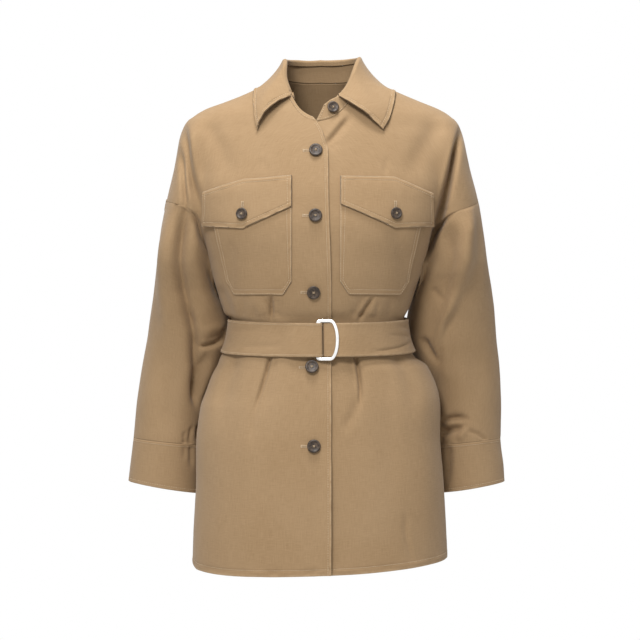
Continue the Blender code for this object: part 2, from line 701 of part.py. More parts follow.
def ring_path(bar_lift, bow_lift):
    """Outline of a D in its own plane: across, up and out from the cloth."""
    half = RING_HEIGHT / 2
    path = [(0.0, 0.0), (0.0, -half + RING_CORNER), (RING_CORNER * 0.3, -half + RING_CORNER * 0.3),
            (RING_CORNER, -half), (RING_ARM * 0.6, -half)]
    for index in range(RING_STEPS + 1):
        turn = math.pi * (index / RING_STEPS - 0.5)
        path.append((RING_ARM + (RING_REACH - RING_ARM) * math.cos(turn), half * math.sin(turn)))
    path += [(across, -up) for across, up in path[4:0:-1]]
    return [(across, up, bar_lift + (bow_lift - bar_lift) * across / RING_REACH) for across, up in path]


def clear_scene():
    for item in list(bpy.data.objects):
        bpy.data.objects.remove(item)
    for group in list(bpy.data.collections):
        bpy.data.collections.remove(group)


def make_material(name, colour, roughness, metallic):
    material = bpy.data.materials.new(name)
    material.use_nodes = True
    shader = material.node_tree.nodes["Principled BSDF"]
    shader.inputs["Base Color"].default_value = colour
    shader.inputs["Roughness"].default_value = roughness
    shader.inputs["Metallic"].default_value = metallic
    return material


def put(name, data, material, group):
    item = bpy.data.objects.new(name, data)
    data.materials.append(material)
    group.objects.link(item)
    return item


def sheet(name, points, thickness, material, group, closed=False, centre=None):
    """A cloth wall through the points of a grid; the points are its outer face."""
    rows, columns = points.shape[:2]
    if closed:
        points = np.concatenate([points, points[:, :1]], axis=1)
        columns += 1
    form = bmesh.new()
    bmesh.ops.create_grid(form, x_segments=columns - 1, y_segments=rows - 1, size=1.0)
    for vertex in form.verts:
        i = round((vertex.co.x + 1) / 2 * (columns - 1))
        j = round((vertex.co.y + 1) / 2 * (rows - 1))
        vertex.co = Vector(points[j, i])
    if closed:
        bmesh.ops.remove_doubles(form, verts=form.verts, dist=1e-6)
    form.normal_update()
    away = 0.0
    for face in form.faces:
        middle = face.calc_center_median()
        reference = centre(middle) if centre else Vector((0, 0, middle.z))
        away += (middle - reference).dot(face.normal) * face.calc_area()
    if away < 0:
        bmesh.ops.reverse_faces(form, faces=form.faces)
    data = bpy.data.meshes.new(name)
    form.to_mesh(data)
    form.free()
    item = put(name, data, material, group)
    wall = item.modifiers.new("wall", "SOLIDIFY")
    wall.thickness = thickness
    wall.offset = -1.0
    return item


def button(name, place, normal, radius, material, group):
    data = bpy.data.meshes.new(name)
    profile = [(radius * r, 0.0, BUTTON_HEIGHT * h) for r, h in BUTTON_PROFILE]
    data.from_pydata(profile, [(i, i + 1) for i in range(len(profile) - 1)], [])
    item = put(name, data, material, group)
    turned = item.modifiers.new("turned", "SCREW")
    turned.axis = "Z"
    turned.angle = 2 * math.pi
    turned.steps = BUTTON_SIDES
    turned.render_steps = BUTTON_SIDES
    turned.use_merge_vertices = True
    turned.merge_threshold = 0.00001
    turned.use_normal_calculate = True
    item.location = Vector(place) + Vector(normal) * BUTTON_GAP
    item.rotation_mode = "QUATERNION"
    item.rotation_quaternion = Vector((0, 0, 1)).rotation_difference(Vector(normal))
    return item


def ring(name, bar_x, path, material, group):
    data = bpy.data.curves.new(name, "CURVE")
    data.dimensions = "3D"
    line = data.splines.new("POLY")
    line.points.add(len(path) - 1)
    for point, place in zip(line.points, path):
        point.co = (*place, 1.0)
        point.tilt = math.pi / 2
    line.use_cyclic_u = True
    data.twist_mode = "Z_UP"
    data.bevel_depth = RING_WIRE
    data.bevel_resolution = 2
    data.extrude = RING_FLAT
    item = put(name, data, material, group)
    middle = torso_points(np.array([0.0]), np.array([BELT_TOP - BELT_WIDTH / 2]))[0]
    item.location = (bar_x, middle[1], middle[2] + path[0][2] * math.sin(RING_LEAN))
    item.rotation_euler = (math.pi / 2 + RING_LEAN, 0.0, 0.0)
    return item


def pocket_points(part, lift):
    side = part["side"]
    top = part["top"]
    span = part["foot"] - top
    columns = 16
    rows = 10
    grid = []
    for j in range(rows + 1):
        v = j / rows
        row = []
        for i in range(columns + 1):
            u = i / columns
            cut = part["corner"] * max(0.0, 1 - 8 * min(u, 1 - u))
            outer_x = part["outer_top"] + (part["outer_foot"] - part["outer_top"]) * v
            x = part["inner_x"] + (outer_x - part["inner_x"]) * u
            row.append((side * x, top + (span + cut) * v))
        grid.append(row)
    grid = np.array(grid)
    return front_point(side, grid[..., 0], grid[..., 1], lift)[0]


def flap_points(side, part, lift):
    columns = 15
    rows = 5
    bend = (part["point_x"] - part["inner_x"]) / (part["outer_x"] - part["inner_x"])
    grid = []
    for j in range(rows + 1):
        v = j / rows
        row = []
        for i in range(columns + 1):
            u = i / columns
            top = np.interp(u, (0, bend, 1), (part["top_in"], part["top_mid"], part["top_out"]))
            foot = np.interp(u, (0, bend, 1), (part["foot_in"], part["point"], part["foot_out"]))
            x = part["inner_x"] + (part["outer_x"] - part["inner_x"]) * u
            row.append((side * x, top + (foot - top) * v))
        grid.append(row)
    grid = np.array(grid)
    return front_point(side, grid[..., 0], grid[..., 1], lift)[0]


def under_leaf(middle):
    return middle * 0.5 - Vector((0, 0, 0.1))


def main():
    clear_scene()
    group = bpy.data.collections.new(OBJECT_NAME)
    bpy.context.scene.collection.children.link(group)
    cloth = make_material("khaki_cloth", KHAKI, 0.85, 0.0)
    metal = make_material("ring_metal", METAL, 0.2, 1.0)
    horn = make_material("button_horn", HORN, 0.35, 0.0)

    plain = {}
    for side in (-1, 1):
        plain[side, -1] = body_grid(side, -1, PANEL_COLUMNS)
        plain[side, 1] = body_grid(side, 1, BACK_COLUMNS)
    finished = {key: finish_body(key[0], grid) for key, grid in plain.items()}

    for name, side in (("front_right", -1), ("front_left", 1)):
        points = pull_back(finished[side, -1], SEAM_GAP, last_column=True)
        sheet(name, points, CLOTH, cloth, group)
    whole_back = np.concatenate([finished[-1, 1][:, ::-1], finished[1, 1][:, 1:]], axis=1)
    sheet("back", pull_back(whole_back, SEAM_GAP, first_column=True, last_column=True), CLOTH, cloth, group)

    first = len(BODY_LEVELS) + 1
    count = 2 * ARMHOLE_ROWS
    for name, side in (("right", -1), ("left", 1)):
        front_seam = finished[side, -1][first:first + ARMHOLE_ROWS + 1, -1]
        back_seam = finished[side, 1][first:first + ARMHOLE_ROWS + 1, -1]
        armhole = np.concatenate([front_seam[::-1], back_seam[1:-1]])
        sleeve = finish_sleeve(side, sleeve_grid(side, armhole))
        sleeve = pull_back(sleeve, SEAM_GAP, first_row=True, last_row=True)

        def arm_axis(middle, side=side):
            section = arm_section(side, middle.z)
            return Vector((side * float(section[0]), float(section[2]), middle.z))

        sheet("sleeve_" + name, sleeve, CLOTH, cloth, group, closed=True, centre=arm_axis)
        cuff = pull_back(cuff_grid(side, count, 3), SEAM_GAP, first_row=True)
        sheet("cuff_" + name, cuff, DOUBLE_CLOTH, cloth, group, closed=True, centre=arm_axis)

    neck = np.concatenate([finished[-1, -1][-1], whole_back[-1][1:-1], finished[1, -1][-1][::-1]])
    places = np.array(line_share(neck, range(len(neck))))
    stand = stand_grid(neck, places, 3)
    sheet("collar_stand", stand, CLOTH, cloth, group)
    leaf = leaf_grid(neck, LEAF_COLUMNS_ACROSS, LEAF_ROWS)
    sheet("collar_leaf", leaf, DOUBLE_CLOTH, cloth, group, centre=under_leaf)

    pocket_lift = LAY_GAP + CLOTH
    for row in POCKETS:
        part = dict(zip(POCKET_COLUMNS, row))
        sheet(part["name"], pocket_points(part, pocket_lift), CLOTH, cloth, group)
    flap_lift = pocket_lift + LAY_GAP + DOUBLE_CLOTH
    for row in FLAPS:
        part = dict(zip(FLAP_COLUMNS, row))
        sheet(part["name"], flap_points(part["side"], part, flap_lift), DOUBLE_CLOTH, cloth, group)
        spot, normal = front_point(part["side"], np.array([part["side"] * part["point_x"]]),
                                   np.array([part["point"] + FLAP_BUTTON_RISE]), flap_lift)
        button("button_" + part["name"], spot[0], normal[0], SMALL_BUTTON_RADIUS, horn, group)

    sheet("belt", belt_grid(2), DOUBLE_CLOTH, cloth, group)
    for name, bar_x, bar_lift, bow_lift in RINGS:
        ring(name, bar_x, ring_path(bar_lift, bow_lift), metal, group)

    for name, x, level, lift in FRONT_BUTTONS:
        spot, normal = front_point(-1, np.array([x]), np.array([level]), lift)
        button(name, spot[0], normal[0], BUTTON_RADIUS, horn, group)
    patch = stand_grid(neck, STAND_BUTTON_PLACE + np.array([-0.005, 0.0, 0.005]), 4)
    across = patch[2, 2] - patch[2, 0]
    up = patch[3, 1] - patch[1, 1]
    spot = patch[2, 1]
    normal = facing_out(spot, np.cross(across, up), np.array([0, 0, spot[2]]))
    spot = spot + unit(normal) * STAND_BUTTON_LIFT
    button("button_collar", spot, unit(normal), SMALL_BUTTON_RADIUS, horn, group)


main()
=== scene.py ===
# %% [markdown]
# # A belted cotton jacket
# The jacket is cut from fourteen pieces of washed khaki cotton: two fronts, a back, sleeves with cuffs, a
# collar on a neck band, two patch pockets under flaps, and a belt drawn through two D rings. Eight
# buttons close it. The imported CAD solids give the frame, and every piece below is a finer skin on one of
# them.

# %% Load the imported solids
import math

import bmesh
import bpy
import numpy as np
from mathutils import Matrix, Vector, noise


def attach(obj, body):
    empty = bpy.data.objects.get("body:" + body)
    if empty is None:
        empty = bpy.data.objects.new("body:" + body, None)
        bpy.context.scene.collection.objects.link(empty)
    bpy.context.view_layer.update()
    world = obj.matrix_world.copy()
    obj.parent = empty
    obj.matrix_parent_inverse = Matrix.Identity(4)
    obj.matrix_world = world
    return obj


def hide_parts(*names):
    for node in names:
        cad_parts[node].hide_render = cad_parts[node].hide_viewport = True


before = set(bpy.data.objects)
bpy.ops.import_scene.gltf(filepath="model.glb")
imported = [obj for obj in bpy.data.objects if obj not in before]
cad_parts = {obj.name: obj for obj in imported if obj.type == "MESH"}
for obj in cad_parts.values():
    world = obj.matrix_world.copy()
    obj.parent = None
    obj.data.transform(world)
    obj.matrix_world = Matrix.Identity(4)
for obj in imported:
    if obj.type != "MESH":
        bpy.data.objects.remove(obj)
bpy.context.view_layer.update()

FINENESS = 1.0

# %% [markdown]
# ## The worn shape in tables
# A worn jacket is a soft tube round the chest, waist and hips with two tubes for the sleeves. It could be
# sculpted, but then no size could be read back. Here sections at chosen levels say how wide and how deep
# each tube is, in metres, with X to the jacket's own left, -Y to the front and the origin inside the neck
# opening. The widths follow the photo. The depths, which it can't show, are a fair guess.

# %% Sections of the body and the sleeves
CLOTH, DOUBLE_CLOTH, SEAM_GAP, LAY_GAP, OVERLAP_LIFT = 0.0014, 0.0020, 0.00010, 0.0011, 0.0026
ARM_BLEND, ARM_TOP = 0.014, -0.030
WAIST_LEVEL, WAIST_TILT, WAIST_FLAT, WAIST_REACH, HIP_LEVEL = -0.357, 0.071, 0.03, 0.13, -0.600
UNDERARM_LEVEL, SKIRT_LEVEL, HEM_LEVEL = -0.262, -0.672, -0.710
FRONT_NECK_SAG, BACK_NECK_SAG = 0.020, 0.008

# Sides are -1 and 1, as X is, and so are the faces: -1 for the front and 1 for the back.
HAND = {-1: "right", 1: "left"}
TORSO_COLUMNS = ("level", "half_width", "middle", "front", "back", "squareness")
TORSO = (
    (-0.740, 0.1940, 0.000, 0.142, 0.138, 2.30), (-0.684, 0.1930, 0.000, 0.138, 0.137, 2.30),
    (-0.593, 0.1885, 0.000, 0.131, 0.135, 2.30), (-0.517, 0.1850, -0.0025, 0.1235, 0.133, 2.30),
    (-0.468, 0.1822, 0.0005, 0.1175, 0.128, 2.30), (-0.436, 0.1745, 0.0033, 0.1130, 0.120, 2.25),
    (-0.404, 0.1600, 0.0033, 0.1075, 0.108, 2.20), (-0.389, 0.1465, -0.004, 0.1037, 0.099, 2.20),
    (-0.357, 0.1345, -0.004, 0.1000, 0.094, 2.20), (-0.331, 0.1315, -0.004, 0.0970, 0.090, 2.20),
    (-0.325, 0.1370, -0.0070, 0.0980, 0.094, 2.20), (-0.312, 0.1430, -0.0062, 0.1050, 0.101, 2.20),
    (-0.290, 0.1500, -0.0060, 0.1120, 0.108, 2.20), (-0.251, 0.1625, -0.0050, 0.1185, 0.114, 2.30),
    (-0.198, 0.1780, -0.003, 0.1215, 0.117, 2.75), (-0.152, 0.1910, -0.001, 0.1150, 0.114, 2.75),
    (-0.106, 0.2030, 0.001, 0.1015, 0.107, 2.45), (-0.061, 0.2090, 0.002, 0.085, 0.096, 2.30),
    (-0.040, 0.2045, 0.002, 0.076, 0.088, 2.20), (-0.027, 0.1960, 0.003, 0.070, 0.083, 2.20),
    (-0.015, 0.1775, 0.003, 0.064, 0.079, 2.10), (-0.003, 0.1480, 0.0045, 0.058, 0.075, 2.00),
    (0.009, 0.1185, 0.0055, 0.052, 0.071, 2.00), (0.020, 0.0940, 0.0045, 0.046, 0.067, 2.00),
    (0.033, 0.0655, 0.003, 0.038, 0.062, 2.00), (0.050, 0.0400, 0.000, 0.026, 0.050, 2.00),
)
ARM_COLUMNS = ("level", "outer_right", "outer_left", "inner_right", "inner_left", "middle_y", "half_depth")
ARM = (
    (-0.020, 0.1830, 0.1860, 0.1500, 0.1500, 0.000, 0.026),
    (-0.040, 0.2037, 0.2090, 0.1500, 0.1500, 0.000, 0.045),
    (-0.061, 0.2128, 0.2174, 0.1520, 0.1520, 0.000, 0.056),
    (-0.106, 0.2219, 0.2280, 0.1550, 0.1550, 0.002, 0.063),
    (-0.152, 0.2330, 0.2396, 0.1590, 0.1590, 0.005, 0.067),
    (-0.198, 0.2425, 0.2480, 0.1650, 0.1630, 0.009, 0.069),
    (-0.243, 0.2485, 0.2550, 0.1700, 0.1630, 0.017, 0.070),
    (-0.262, 0.2510, 0.2585, 0.1650, 0.1550, 0.027, 0.070),
    (-0.275, 0.2528, 0.2612, 0.1605, 0.1500, 0.036, 0.070),
    (-0.290, 0.2550, 0.2640, 0.1550, 0.1430, 0.044, 0.069),
    (-0.320, 0.2595, 0.2685, 0.1405, 0.1355, 0.053, 0.067),
    (-0.340, 0.2628, 0.2703, 0.1350, 0.1330, 0.058, 0.0655),
    (-0.362, 0.2660, 0.2720, 0.1355, 0.1345, 0.061, 0.064),
    (-0.404, 0.2740, 0.2765, 0.1480, 0.1500, 0.066, 0.061),
    (-0.436, 0.2790, 0.2785, 0.1640, 0.1690, 0.067, 0.059),
    (-0.468, 0.2835, 0.2795, 0.1745, 0.1755, 0.067, 0.057),
    (-0.517, 0.2880, 0.2785, 0.1805, 0.1765, 0.064, 0.054),
    (-0.560, 0.2930, 0.2830, 0.1820, 0.1800, 0.062, 0.052),
    (-0.610, 0.2980, 0.2855, 0.1840, 0.1830, 0.060, 0.051),
)
print("sections:", len(TORSO), "of the body and", len(ARM), "of the sleeves")

# %% Edges and seams
HEM_COLUMNS = ("angle", "level")
HEM = ((-180, -0.712), (-135, -0.710), (-90, -0.700), (-75, -0.709), (-45, -0.7135), (0, -0.711), (20, -0.709),
       (45, -0.704), (70, -0.697), (90, -0.693), (135, -0.705), (180, -0.712))
EDGE_COLUMNS = ("level", "right_edge", "left_edge")
EDGE = (
    (-0.720, 0.0162, -0.030), (-0.300, 0.0166, -0.030), (-0.150, 0.0130, -0.034),
    (-0.081, 0.0119, -0.034), (-0.068, 0.0082, -0.030), (-0.053, 0.0035, -0.021),
    (-0.040, -0.0040, -0.008), (-0.031, -0.0070, -0.001),
)
ARMHOLE_COLUMNS = ("front_level", "back_level", "right_x", "right_level", "left_x", "left_level")
ARMHOLE = (
    (-0.262, -0.262, 0.1695, -0.262, 0.1695, -0.262), (-0.234, -0.232, 0.1735, -0.236, 0.1712, -0.236),
    (-0.206, -0.203, 0.1790, -0.209, 0.1730, -0.209), (-0.184, -0.178, 0.1860, -0.180, 0.1850, -0.1850),
    (-0.166, -0.155, 0.2080, -0.162, 0.2080, -0.1695), (-0.150, -0.132, 0.2356, -0.151, 0.2356, -0.151),
)
SHOULDER_COLUMNS = ("front_level", "back_level", "seam_level")
SHOULDER = (
    (-0.150, -0.132, -0.151), (-0.124, -0.100, -0.106), (-0.102, -0.068, -0.062),
    (-0.086, -0.042, -0.034), (-0.073, -0.020, -0.016), (-0.061, -0.001, 0.001), (-0.050, 0.018, 0.016),
    (-0.038, 0.038, 0.033),
)
CUFF_TOP, CUFF_TOP_SLOPE, CUFF_FOOT, CUFF_FOOT_SLOPE = -0.5210, 0.10, -0.5915, 0.165
print("hem stations:", len(HEM), "armhole rows:", len(ARMHOLE), "shoulder rows:", len(SHOULDER))

# %% [markdown]
# ## Smooth curves through the tables
# Cloth never turns a corner between two sections, so each table column becomes a smooth curve. The curve
# never overshoots its table, so that no section bulges between two rows.

# %% Curves through table columns
def column(table, columns, name):
    return [row[columns.index(name)] for row in table]


def curve_through(stations, values):
    """Smooth curve through a table column that never overshoots, level beyond its ends."""
    x = np.asarray(stations, float)
    y = np.asarray(values, float)
    step = np.diff(x)
    slope = np.diff(y) / step
    tangent = np.zeros(len(x))
    tangent[0], tangent[-1] = slope[0], slope[-1]
    for i in range(1, len(x) - 1):
        if slope[i - 1] * slope[i] > 0:
            before = 2 * step[i] + step[i - 1]
            after = step[i] + 2 * step[i - 1]
            tangent[i] = (before + after) / (before / slope[i - 1] + after / slope[i])

    def at(where):
        t = np.clip(np.asarray(where, float), x[0], x[-1])
        i = np.clip(np.searchsorted(x, t, side="right") - 1, 0, len(x) - 2)
        u = (t - x[i]) / step[i]
        return ((1 + 2 * u) * (1 - u) ** 2 * y[i] + u * (1 - u) ** 2 * step[i] * tangent[i]
                + u * u * (3 - 2 * u) * y[i + 1] + u * u * (u - 1) * step[i] * tangent[i + 1])

    return at


def table_curves(table, columns, along):
    stations = column(table, columns, along) if along else list(range(len(table)))
    order = np.argsort(stations)
    return {name: curve_through([stations[i] for i in order], [column(table, columns, name)[i] for i in order])
            for name in columns if name != along}


def ease(value, low, high):
    u = np.clip((np.asarray(value, float) - low) / (high - low), 0.0, 1.0)
    return u * u * (3 - 2 * u)


def unit(vectors):
    return vectors / (np.linalg.norm(vectors, axis=-1, keepdims=True) + 1e-12)


TORSO_AT = table_curves(TORSO, TORSO_COLUMNS, "level")
ARM_AT = table_curves(ARM, ARM_COLUMNS, "level")
HEM_AT = table_curves(HEM, HEM_COLUMNS, "angle")
EDGE_AT = table_curves(EDGE, EDGE_COLUMNS, "level")
ARMHOLE_AT = table_curves(ARMHOLE, ARMHOLE_COLUMNS, None)
SHOULDER_AT = table_curves(SHOULDER, SHOULDER_COLUMNS, None)
print("waist half width %.4f m, hip half width %.4f m"
      % (TORSO_AT["half_width"](WAIST_LEVEL), TORSO_AT["half_width"](HIP_LEVEL)))

# %% [markdown]
# ## One form under the cloth
# Body and sleeve run into each other without a corner at the dropped shoulder. Two tubes joined by a
# boolean would leave a hard line there. A distance to both tubes, blended where they meet, gives one soft
# form, and the cloth is found by walking outwards from the middle until that distance is zero.

# %% Distance to the body and the sleeves
def arm_section(side, z):
    outer, inner = (ARM_AT[wall + HAND[side]](z) for wall in ("outer_", "inner_"))
    return 0.5 * (outer + inner), 0.5 * (outer - inner), ARM_AT["middle_y"](z), ARM_AT["half_depth"](z)


def waist_tilt(level):
    return WAIST_TILT * (1 - ease(np.abs(level - WAIST_LEVEL), WAIST_FLAT, WAIST_REACH))


def torso_distance(x, y, z):
    level = z - waist_tilt(z) * y
    level = z - waist_tilt(level) * y
    half_width = TORSO_AT["half_width"](level)
    x = x - TORSO_AT["middle"](level)
    depth = np.where(y < 0, TORSO_AT["front"](level), TORSO_AT["back"](level))
    power = TORSO_AT["squareness"](level)
    gauge = ((np.abs(x) / half_width) ** power + (np.abs(y) / depth) ** power) ** (1 / power) + 1e-9
    return np.hypot(x, y) * (1 - 1 / gauge) - 1e-9


def arm_distance(side, x, y, z):
    middle_x, half_x, middle_y, half_y = arm_section(side, z)
    dx = side * x - middle_x
    dy = y - middle_y
    gauge = np.sqrt((dx / half_x) ** 2 + (dy / half_y) ** 2) + 1e-9
    return np.hypot(dx, dy) * (1 - 1 / gauge)


def form_distance(side, x, y, z):
    body = torso_distance(x, y, z)
    arm = arm_distance(side, x, y, z) + 2 * np.clip(z - ARM_TOP, 0, None)
    soft = np.clip(ARM_BLEND - np.abs(body - arm), 0, None) / ARM_BLEND
    return np.minimum(body, arm) - soft * soft * ARM_BLEND / 4


HALVINGS, PAST_SIDE, PAST_FACE = 36, 0.4, 0.3


def crossing(distance, inside, outside):
    """Where a straight way from inside to outside leaves the form."""
    near, far = np.array(inside, float), np.array(outside, float)
    for _ in range(HALVINGS):
        half = 0.5 * (near + far)
        within = distance(half) < 0
        near, far = np.where(within, half, near), np.where(within, far, half)
    return 0.5 * (near + far)


def seam_reach(side, z):
    z = np.asarray(z, float)
    far = np.full_like(z, PAST_SIDE)
    return crossing(lambda x: form_distance(side, side * x, np.zeros_like(x), z), np.zeros_like(z), far)


def form_depth(side, face, x, z):
    x, z = np.broadcast_arrays(np.asarray(x, float), np.asarray(z, float))
    far = np.full_like(x, PAST_FACE)
    return face * crossing(lambda d: form_distance(side, x, face * d, z), np.zeros_like(x), far)


def form_normal(side, points):
    step = 0.0004
    slope = []
    for axis in np.eye(3) * step:
        ahead, behind = points + axis, points - axis
        slope.append(form_distance(side, ahead[..., 0], ahead[..., 1], ahead[..., 2])
                     - form_distance(side, behind[..., 0], behind[..., 1], behind[..., 2]))
    return unit(np.stack(slope, -1))


print("front of the chest at y = %.4f m" % form_depth(1, -1, np.array([0.05]), np.array([-0.2]))[0])

# %% [markdown]
# ## Folds and creases, placed one by one
# Washed cotton keeps a few long soft folds where the belt draws it in and where the sleeves hang, and
# small sharp ones beside seams. A noise texture would spread the same crumple everywhere. Here each fold
# has its own row: where it starts and ends, its bow, its half width, its height (a trough is below zero)
# and how far it leans.

# %% Long folds of the body and the sleeves
# angle_0, level_0, angle_1, level_1, half_width, height
BODY_FOLDS = (
    (-36, -0.328, -33, -0.298, 0.011, -0.0032), (-45, -0.326, -47, -0.298, 0.012, 0.0018),
    (-37, -0.384, -39, -0.475, 0.010, -0.0032), (29, -0.328, 34, -0.298, 0.011, -0.0032),
    (42, -0.326, 44, -0.298, 0.012, 0.0018), (27, -0.384, 28, -0.455, 0.010, -0.0032),
    (-66, -0.384, -62, -0.500, 0.016, -0.0040), (62, -0.384, 58, -0.480, 0.016, -0.0040),
    (150, -0.327, 154, -0.270, 0.012, -0.0055), (-152, -0.327, -150, -0.268, 0.012, -0.0055),
    (171, -0.327, 173, -0.285, 0.012, -0.0050), (-168, -0.384, -171, -0.470, 0.013, -0.0060),
    (140, -0.384, 136, -0.480, 0.014, -0.0055), (-136, -0.384, -132, -0.490, 0.014, -0.0055),
    (164, -0.384, 166, -0.450, 0.012, -0.0050),
)
# The same columns, for each side
RIGHT_FOLDS = (
    (88, -0.180, 98, -0.380, 0.011, -0.0085), (100, -0.360, 136, -0.465, 0.012, -0.0075),
    (150, -0.357, 106, -0.374, 0.009, -0.0050), (120, -0.215, 128, -0.340, 0.013, 0.0040),
    (235, -0.300, 290, -0.340, 0.016, -0.0045),
)
LEFT_FOLDS = (
    (104, -0.200, 124, -0.350, 0.014, -0.0050), (78, -0.185, 114, -0.395, 0.014, 0.0040),
    (140, -0.505, 96, -0.478, 0.010, -0.0045), (235, -0.290, 290, -0.335, 0.016, -0.0045),
)
SLEEVE_FOLDS = {-1: RIGHT_FOLDS, 1: LEFT_FOLDS}


FOLD_START, FOLD_END = (-0.12, 0.10), (0.55, 1.10)
CREASE_START, CREASE_END = (-0.15, 0.25), (0.65, 1.15)


def along_run(off_x, off_z, run_x, run_z):
    """How far along a straight run a point lies, as a share of it, and how far aside of it."""
    length = np.hypot(run_x, run_z)
    return (off_x * run_x + off_z * run_z) / length ** 2, (off_x * run_z - off_z * run_x) / length


def turn_from(start, angle):
    """The shorter turn from one angle to others, from degrees to radians."""
    return np.radians((angle - start + 180) % 360 - 180)


def fold_height(across, angle, level, table):
    """Sum of soft troughs and ridges, each with tapered ends."""
    total = np.zeros_like(level)
    for angle_0, level_0, angle_1, level_1, half_width, height in table:
        run = math.radians(angle_1 - angle_0) * across
        travel, aside = along_run(turn_from(angle_0, angle) * across, level - level_0, run, level_1 - level_0)
        shape = np.exp(-(aside / half_width) ** 2)
        total += height * shape * ease(travel, *FOLD_START) * (1 - ease(travel, *FOLD_END))
    return total


def body_folds(points):
    x, y, z = points[..., 0], points[..., 1], points[..., 2]
    return fold_height(np.hypot(x, y), np.degrees(np.arctan2(x, -y)), z, BODY_FOLDS)


OVERLAP_FROM, OVERLAP_TO = -0.085, -0.045


def overlap_lift(side, points):
    """The right front lies over the left one."""
    if side > 0:
        return np.zeros(points.shape[:-1])
    return OVERLAP_LIFT * ease(points[..., 0], OVERLAP_FROM, OVERLAP_TO) * (points[..., 1] < 0)


print("long folds:", len(BODY_FOLDS), "on the body,", len(RIGHT_FOLDS + LEFT_FOLDS), "on the sleeves")

# %% Creases of the fronts and the back
# x_0, z_0, x_1, z_1, bow, half_width, height, lean
FRONT_CREASES = (
    (-0.1714, -0.0394, -0.1326, -0.1228, -0.0045, 0.0134, -0.0036, 0.0),
    (-0.2011, -0.0480, -0.1790, -0.1600, 0.0030, 0.0072, -0.0085, 0.8),
    (-0.2105, -0.0800, -0.1985, -0.1760, 0.0, 0.0042, -0.0090, 0.2),
    (0.1818, -0.0394, 0.1341, -0.1198, 0.0045, 0.0149, -0.0042, 0.0),
    (0.2085, -0.0560, 0.1690, -0.2150, 0.0, 0.0056, -0.0200, -0.5),
    (0.1013, -0.0930, 0.0983, -0.1198, 0.0, 0.0045, -0.0012, 0.4),
    (-0.0864, -0.0960, -0.0775, -0.1169, 0.0, 0.0060, -0.0008, 0.0),
    (0.0089, -0.0722, 0.0432, -0.0289, 0.0, 0.0067, -0.0036, 0.8),
    (0.0164, -0.0811, 0.0268, -0.0677, 0.0, 0.0045, -0.0014, 0.3),
    (-0.1326, -0.2092, -0.1356, -0.3046, 0.0, 0.0119, -0.0026, 0.0),
    (-0.1475, -0.2837, -0.1296, -0.3344, 0.0, 0.0075, -0.0040, 0.4),
    (0.1103, -0.1884, 0.1267, -0.2659, 0.0, 0.0134, -0.0032, 0.0),
    (0.1460, -0.2748, 0.1326, -0.3314, 0.0, 0.0075, -0.0030, -0.3),
    (-0.0712, -0.2985, -0.0706, -0.3340, 0.0, 0.0032, -0.0044, 0.8),
    (-0.0810, -0.3030, -0.0715, -0.3240, 0.0, 0.0034, -0.0024, -0.5),
    (-0.1132, -0.3046, -0.1177, -0.3344, 0.0, 0.0052, -0.0016, 0.0),
    (-0.0983, -0.3135, -0.0969, -0.3344, 0.0, 0.0045, -0.0013, 0.0),
    (0.0770, -0.3000, 0.0560, -0.3350, 0.0, 0.0034, -0.0050, -0.8),
    (0.0879, -0.3076, 0.0834, -0.3314, 0.0, 0.0042, -0.0018, 0.3),
    (0.1058, -0.3046, 0.1028, -0.3299, 0.0, 0.0052, -0.0016, 0.0),
    (-0.0708, -0.3790, -0.0940, -0.4640, -0.0010, 0.0031, -0.0046, 0.8),
    (-0.0910, -0.4460, -0.0998, -0.5120, 0.0, 0.0060, -0.0018, 0.4),
    (0.0496, -0.3780, 0.0583, -0.4600, -0.0032, 0.0031, -0.0054, -0.8),
    (0.0592, -0.4430, 0.0343, -0.4990, -0.0030, 0.0080, -0.0026, 0.0),
    (-0.1252, -0.3970, -0.1460, -0.5639, 0.0, 0.0194, -0.0026, 0.0),
    (-0.1624, -0.4834, -0.1728, -0.6920, 0.0, 0.0149, -0.0022, 0.0),
    (-0.1013, -0.4834, -0.1073, -0.7009, 0.0, 0.0238, 0.0016, 0.0),
    (0.0954, -0.3940, 0.1073, -0.6026, 0.0, 0.0194, -0.0024, 0.0),
    (0.1550, -0.4506, 0.1639, -0.6622, 0.0, 0.0194, 0.0018, 0.0),
    (0.1281, -0.6264, 0.1401, -0.6950, 0.0030, 0.0048, -0.0018, 0.5),
    (0.0775, -0.3836, 0.1073, -0.3880, 0.0, 0.0039, -0.0016, 0.0),
)
BACK_CREASES = (
    (-0.165, -0.150, -0.085, -0.300, 0.006, 0.012, -0.0038, 0.3),
    (0.160, -0.140, 0.075, -0.290, -0.006, 0.013, -0.0040, -0.3),
    (-0.120, -0.200, -0.060, -0.315, 0.004, 0.009, -0.0028, 0.5),
    (0.110, -0.215, 0.050, -0.318, -0.004, 0.009, -0.0026, -0.4),
    (-0.030, -0.285, -0.022, -0.330, 0.0, 0.006, -0.0030, 0.4),
    (0.018, -0.290, 0.026, -0.330, 0.0, 0.006, -0.0026, -0.3),
    (-0.075, -0.295, -0.068, -0.330, 0.0, 0.005, -0.0022, 0.2),
    (0.082, -0.292, 0.088, -0.330, 0.0, 0.005, -0.0024, -0.2),
    (-0.040, -0.385, -0.055, -0.520, 0.0, 0.014, -0.0030, 0.3),
    (0.035, -0.385, 0.052, -0.560, 0.0, 0.016, -0.0032, -0.2),
    (-0.105, -0.390, -0.130, -0.600, 0.0, 0.018, -0.0028, 0.0),
    (0.110, -0.390, 0.128, -0.640, 0.0, 0.019, -0.0026, 0.0),
    (0.000, -0.470, 0.004, -0.690, 0.0, 0.024, 0.0022, 0.0),
    (-0.020, -0.030, -0.060, -0.110, 0.0, 0.015, -0.0016, 0.0),
    (0.030, -0.030, 0.075, -0.120, 0.0, 0.016, -0.0018, 0.0),
)
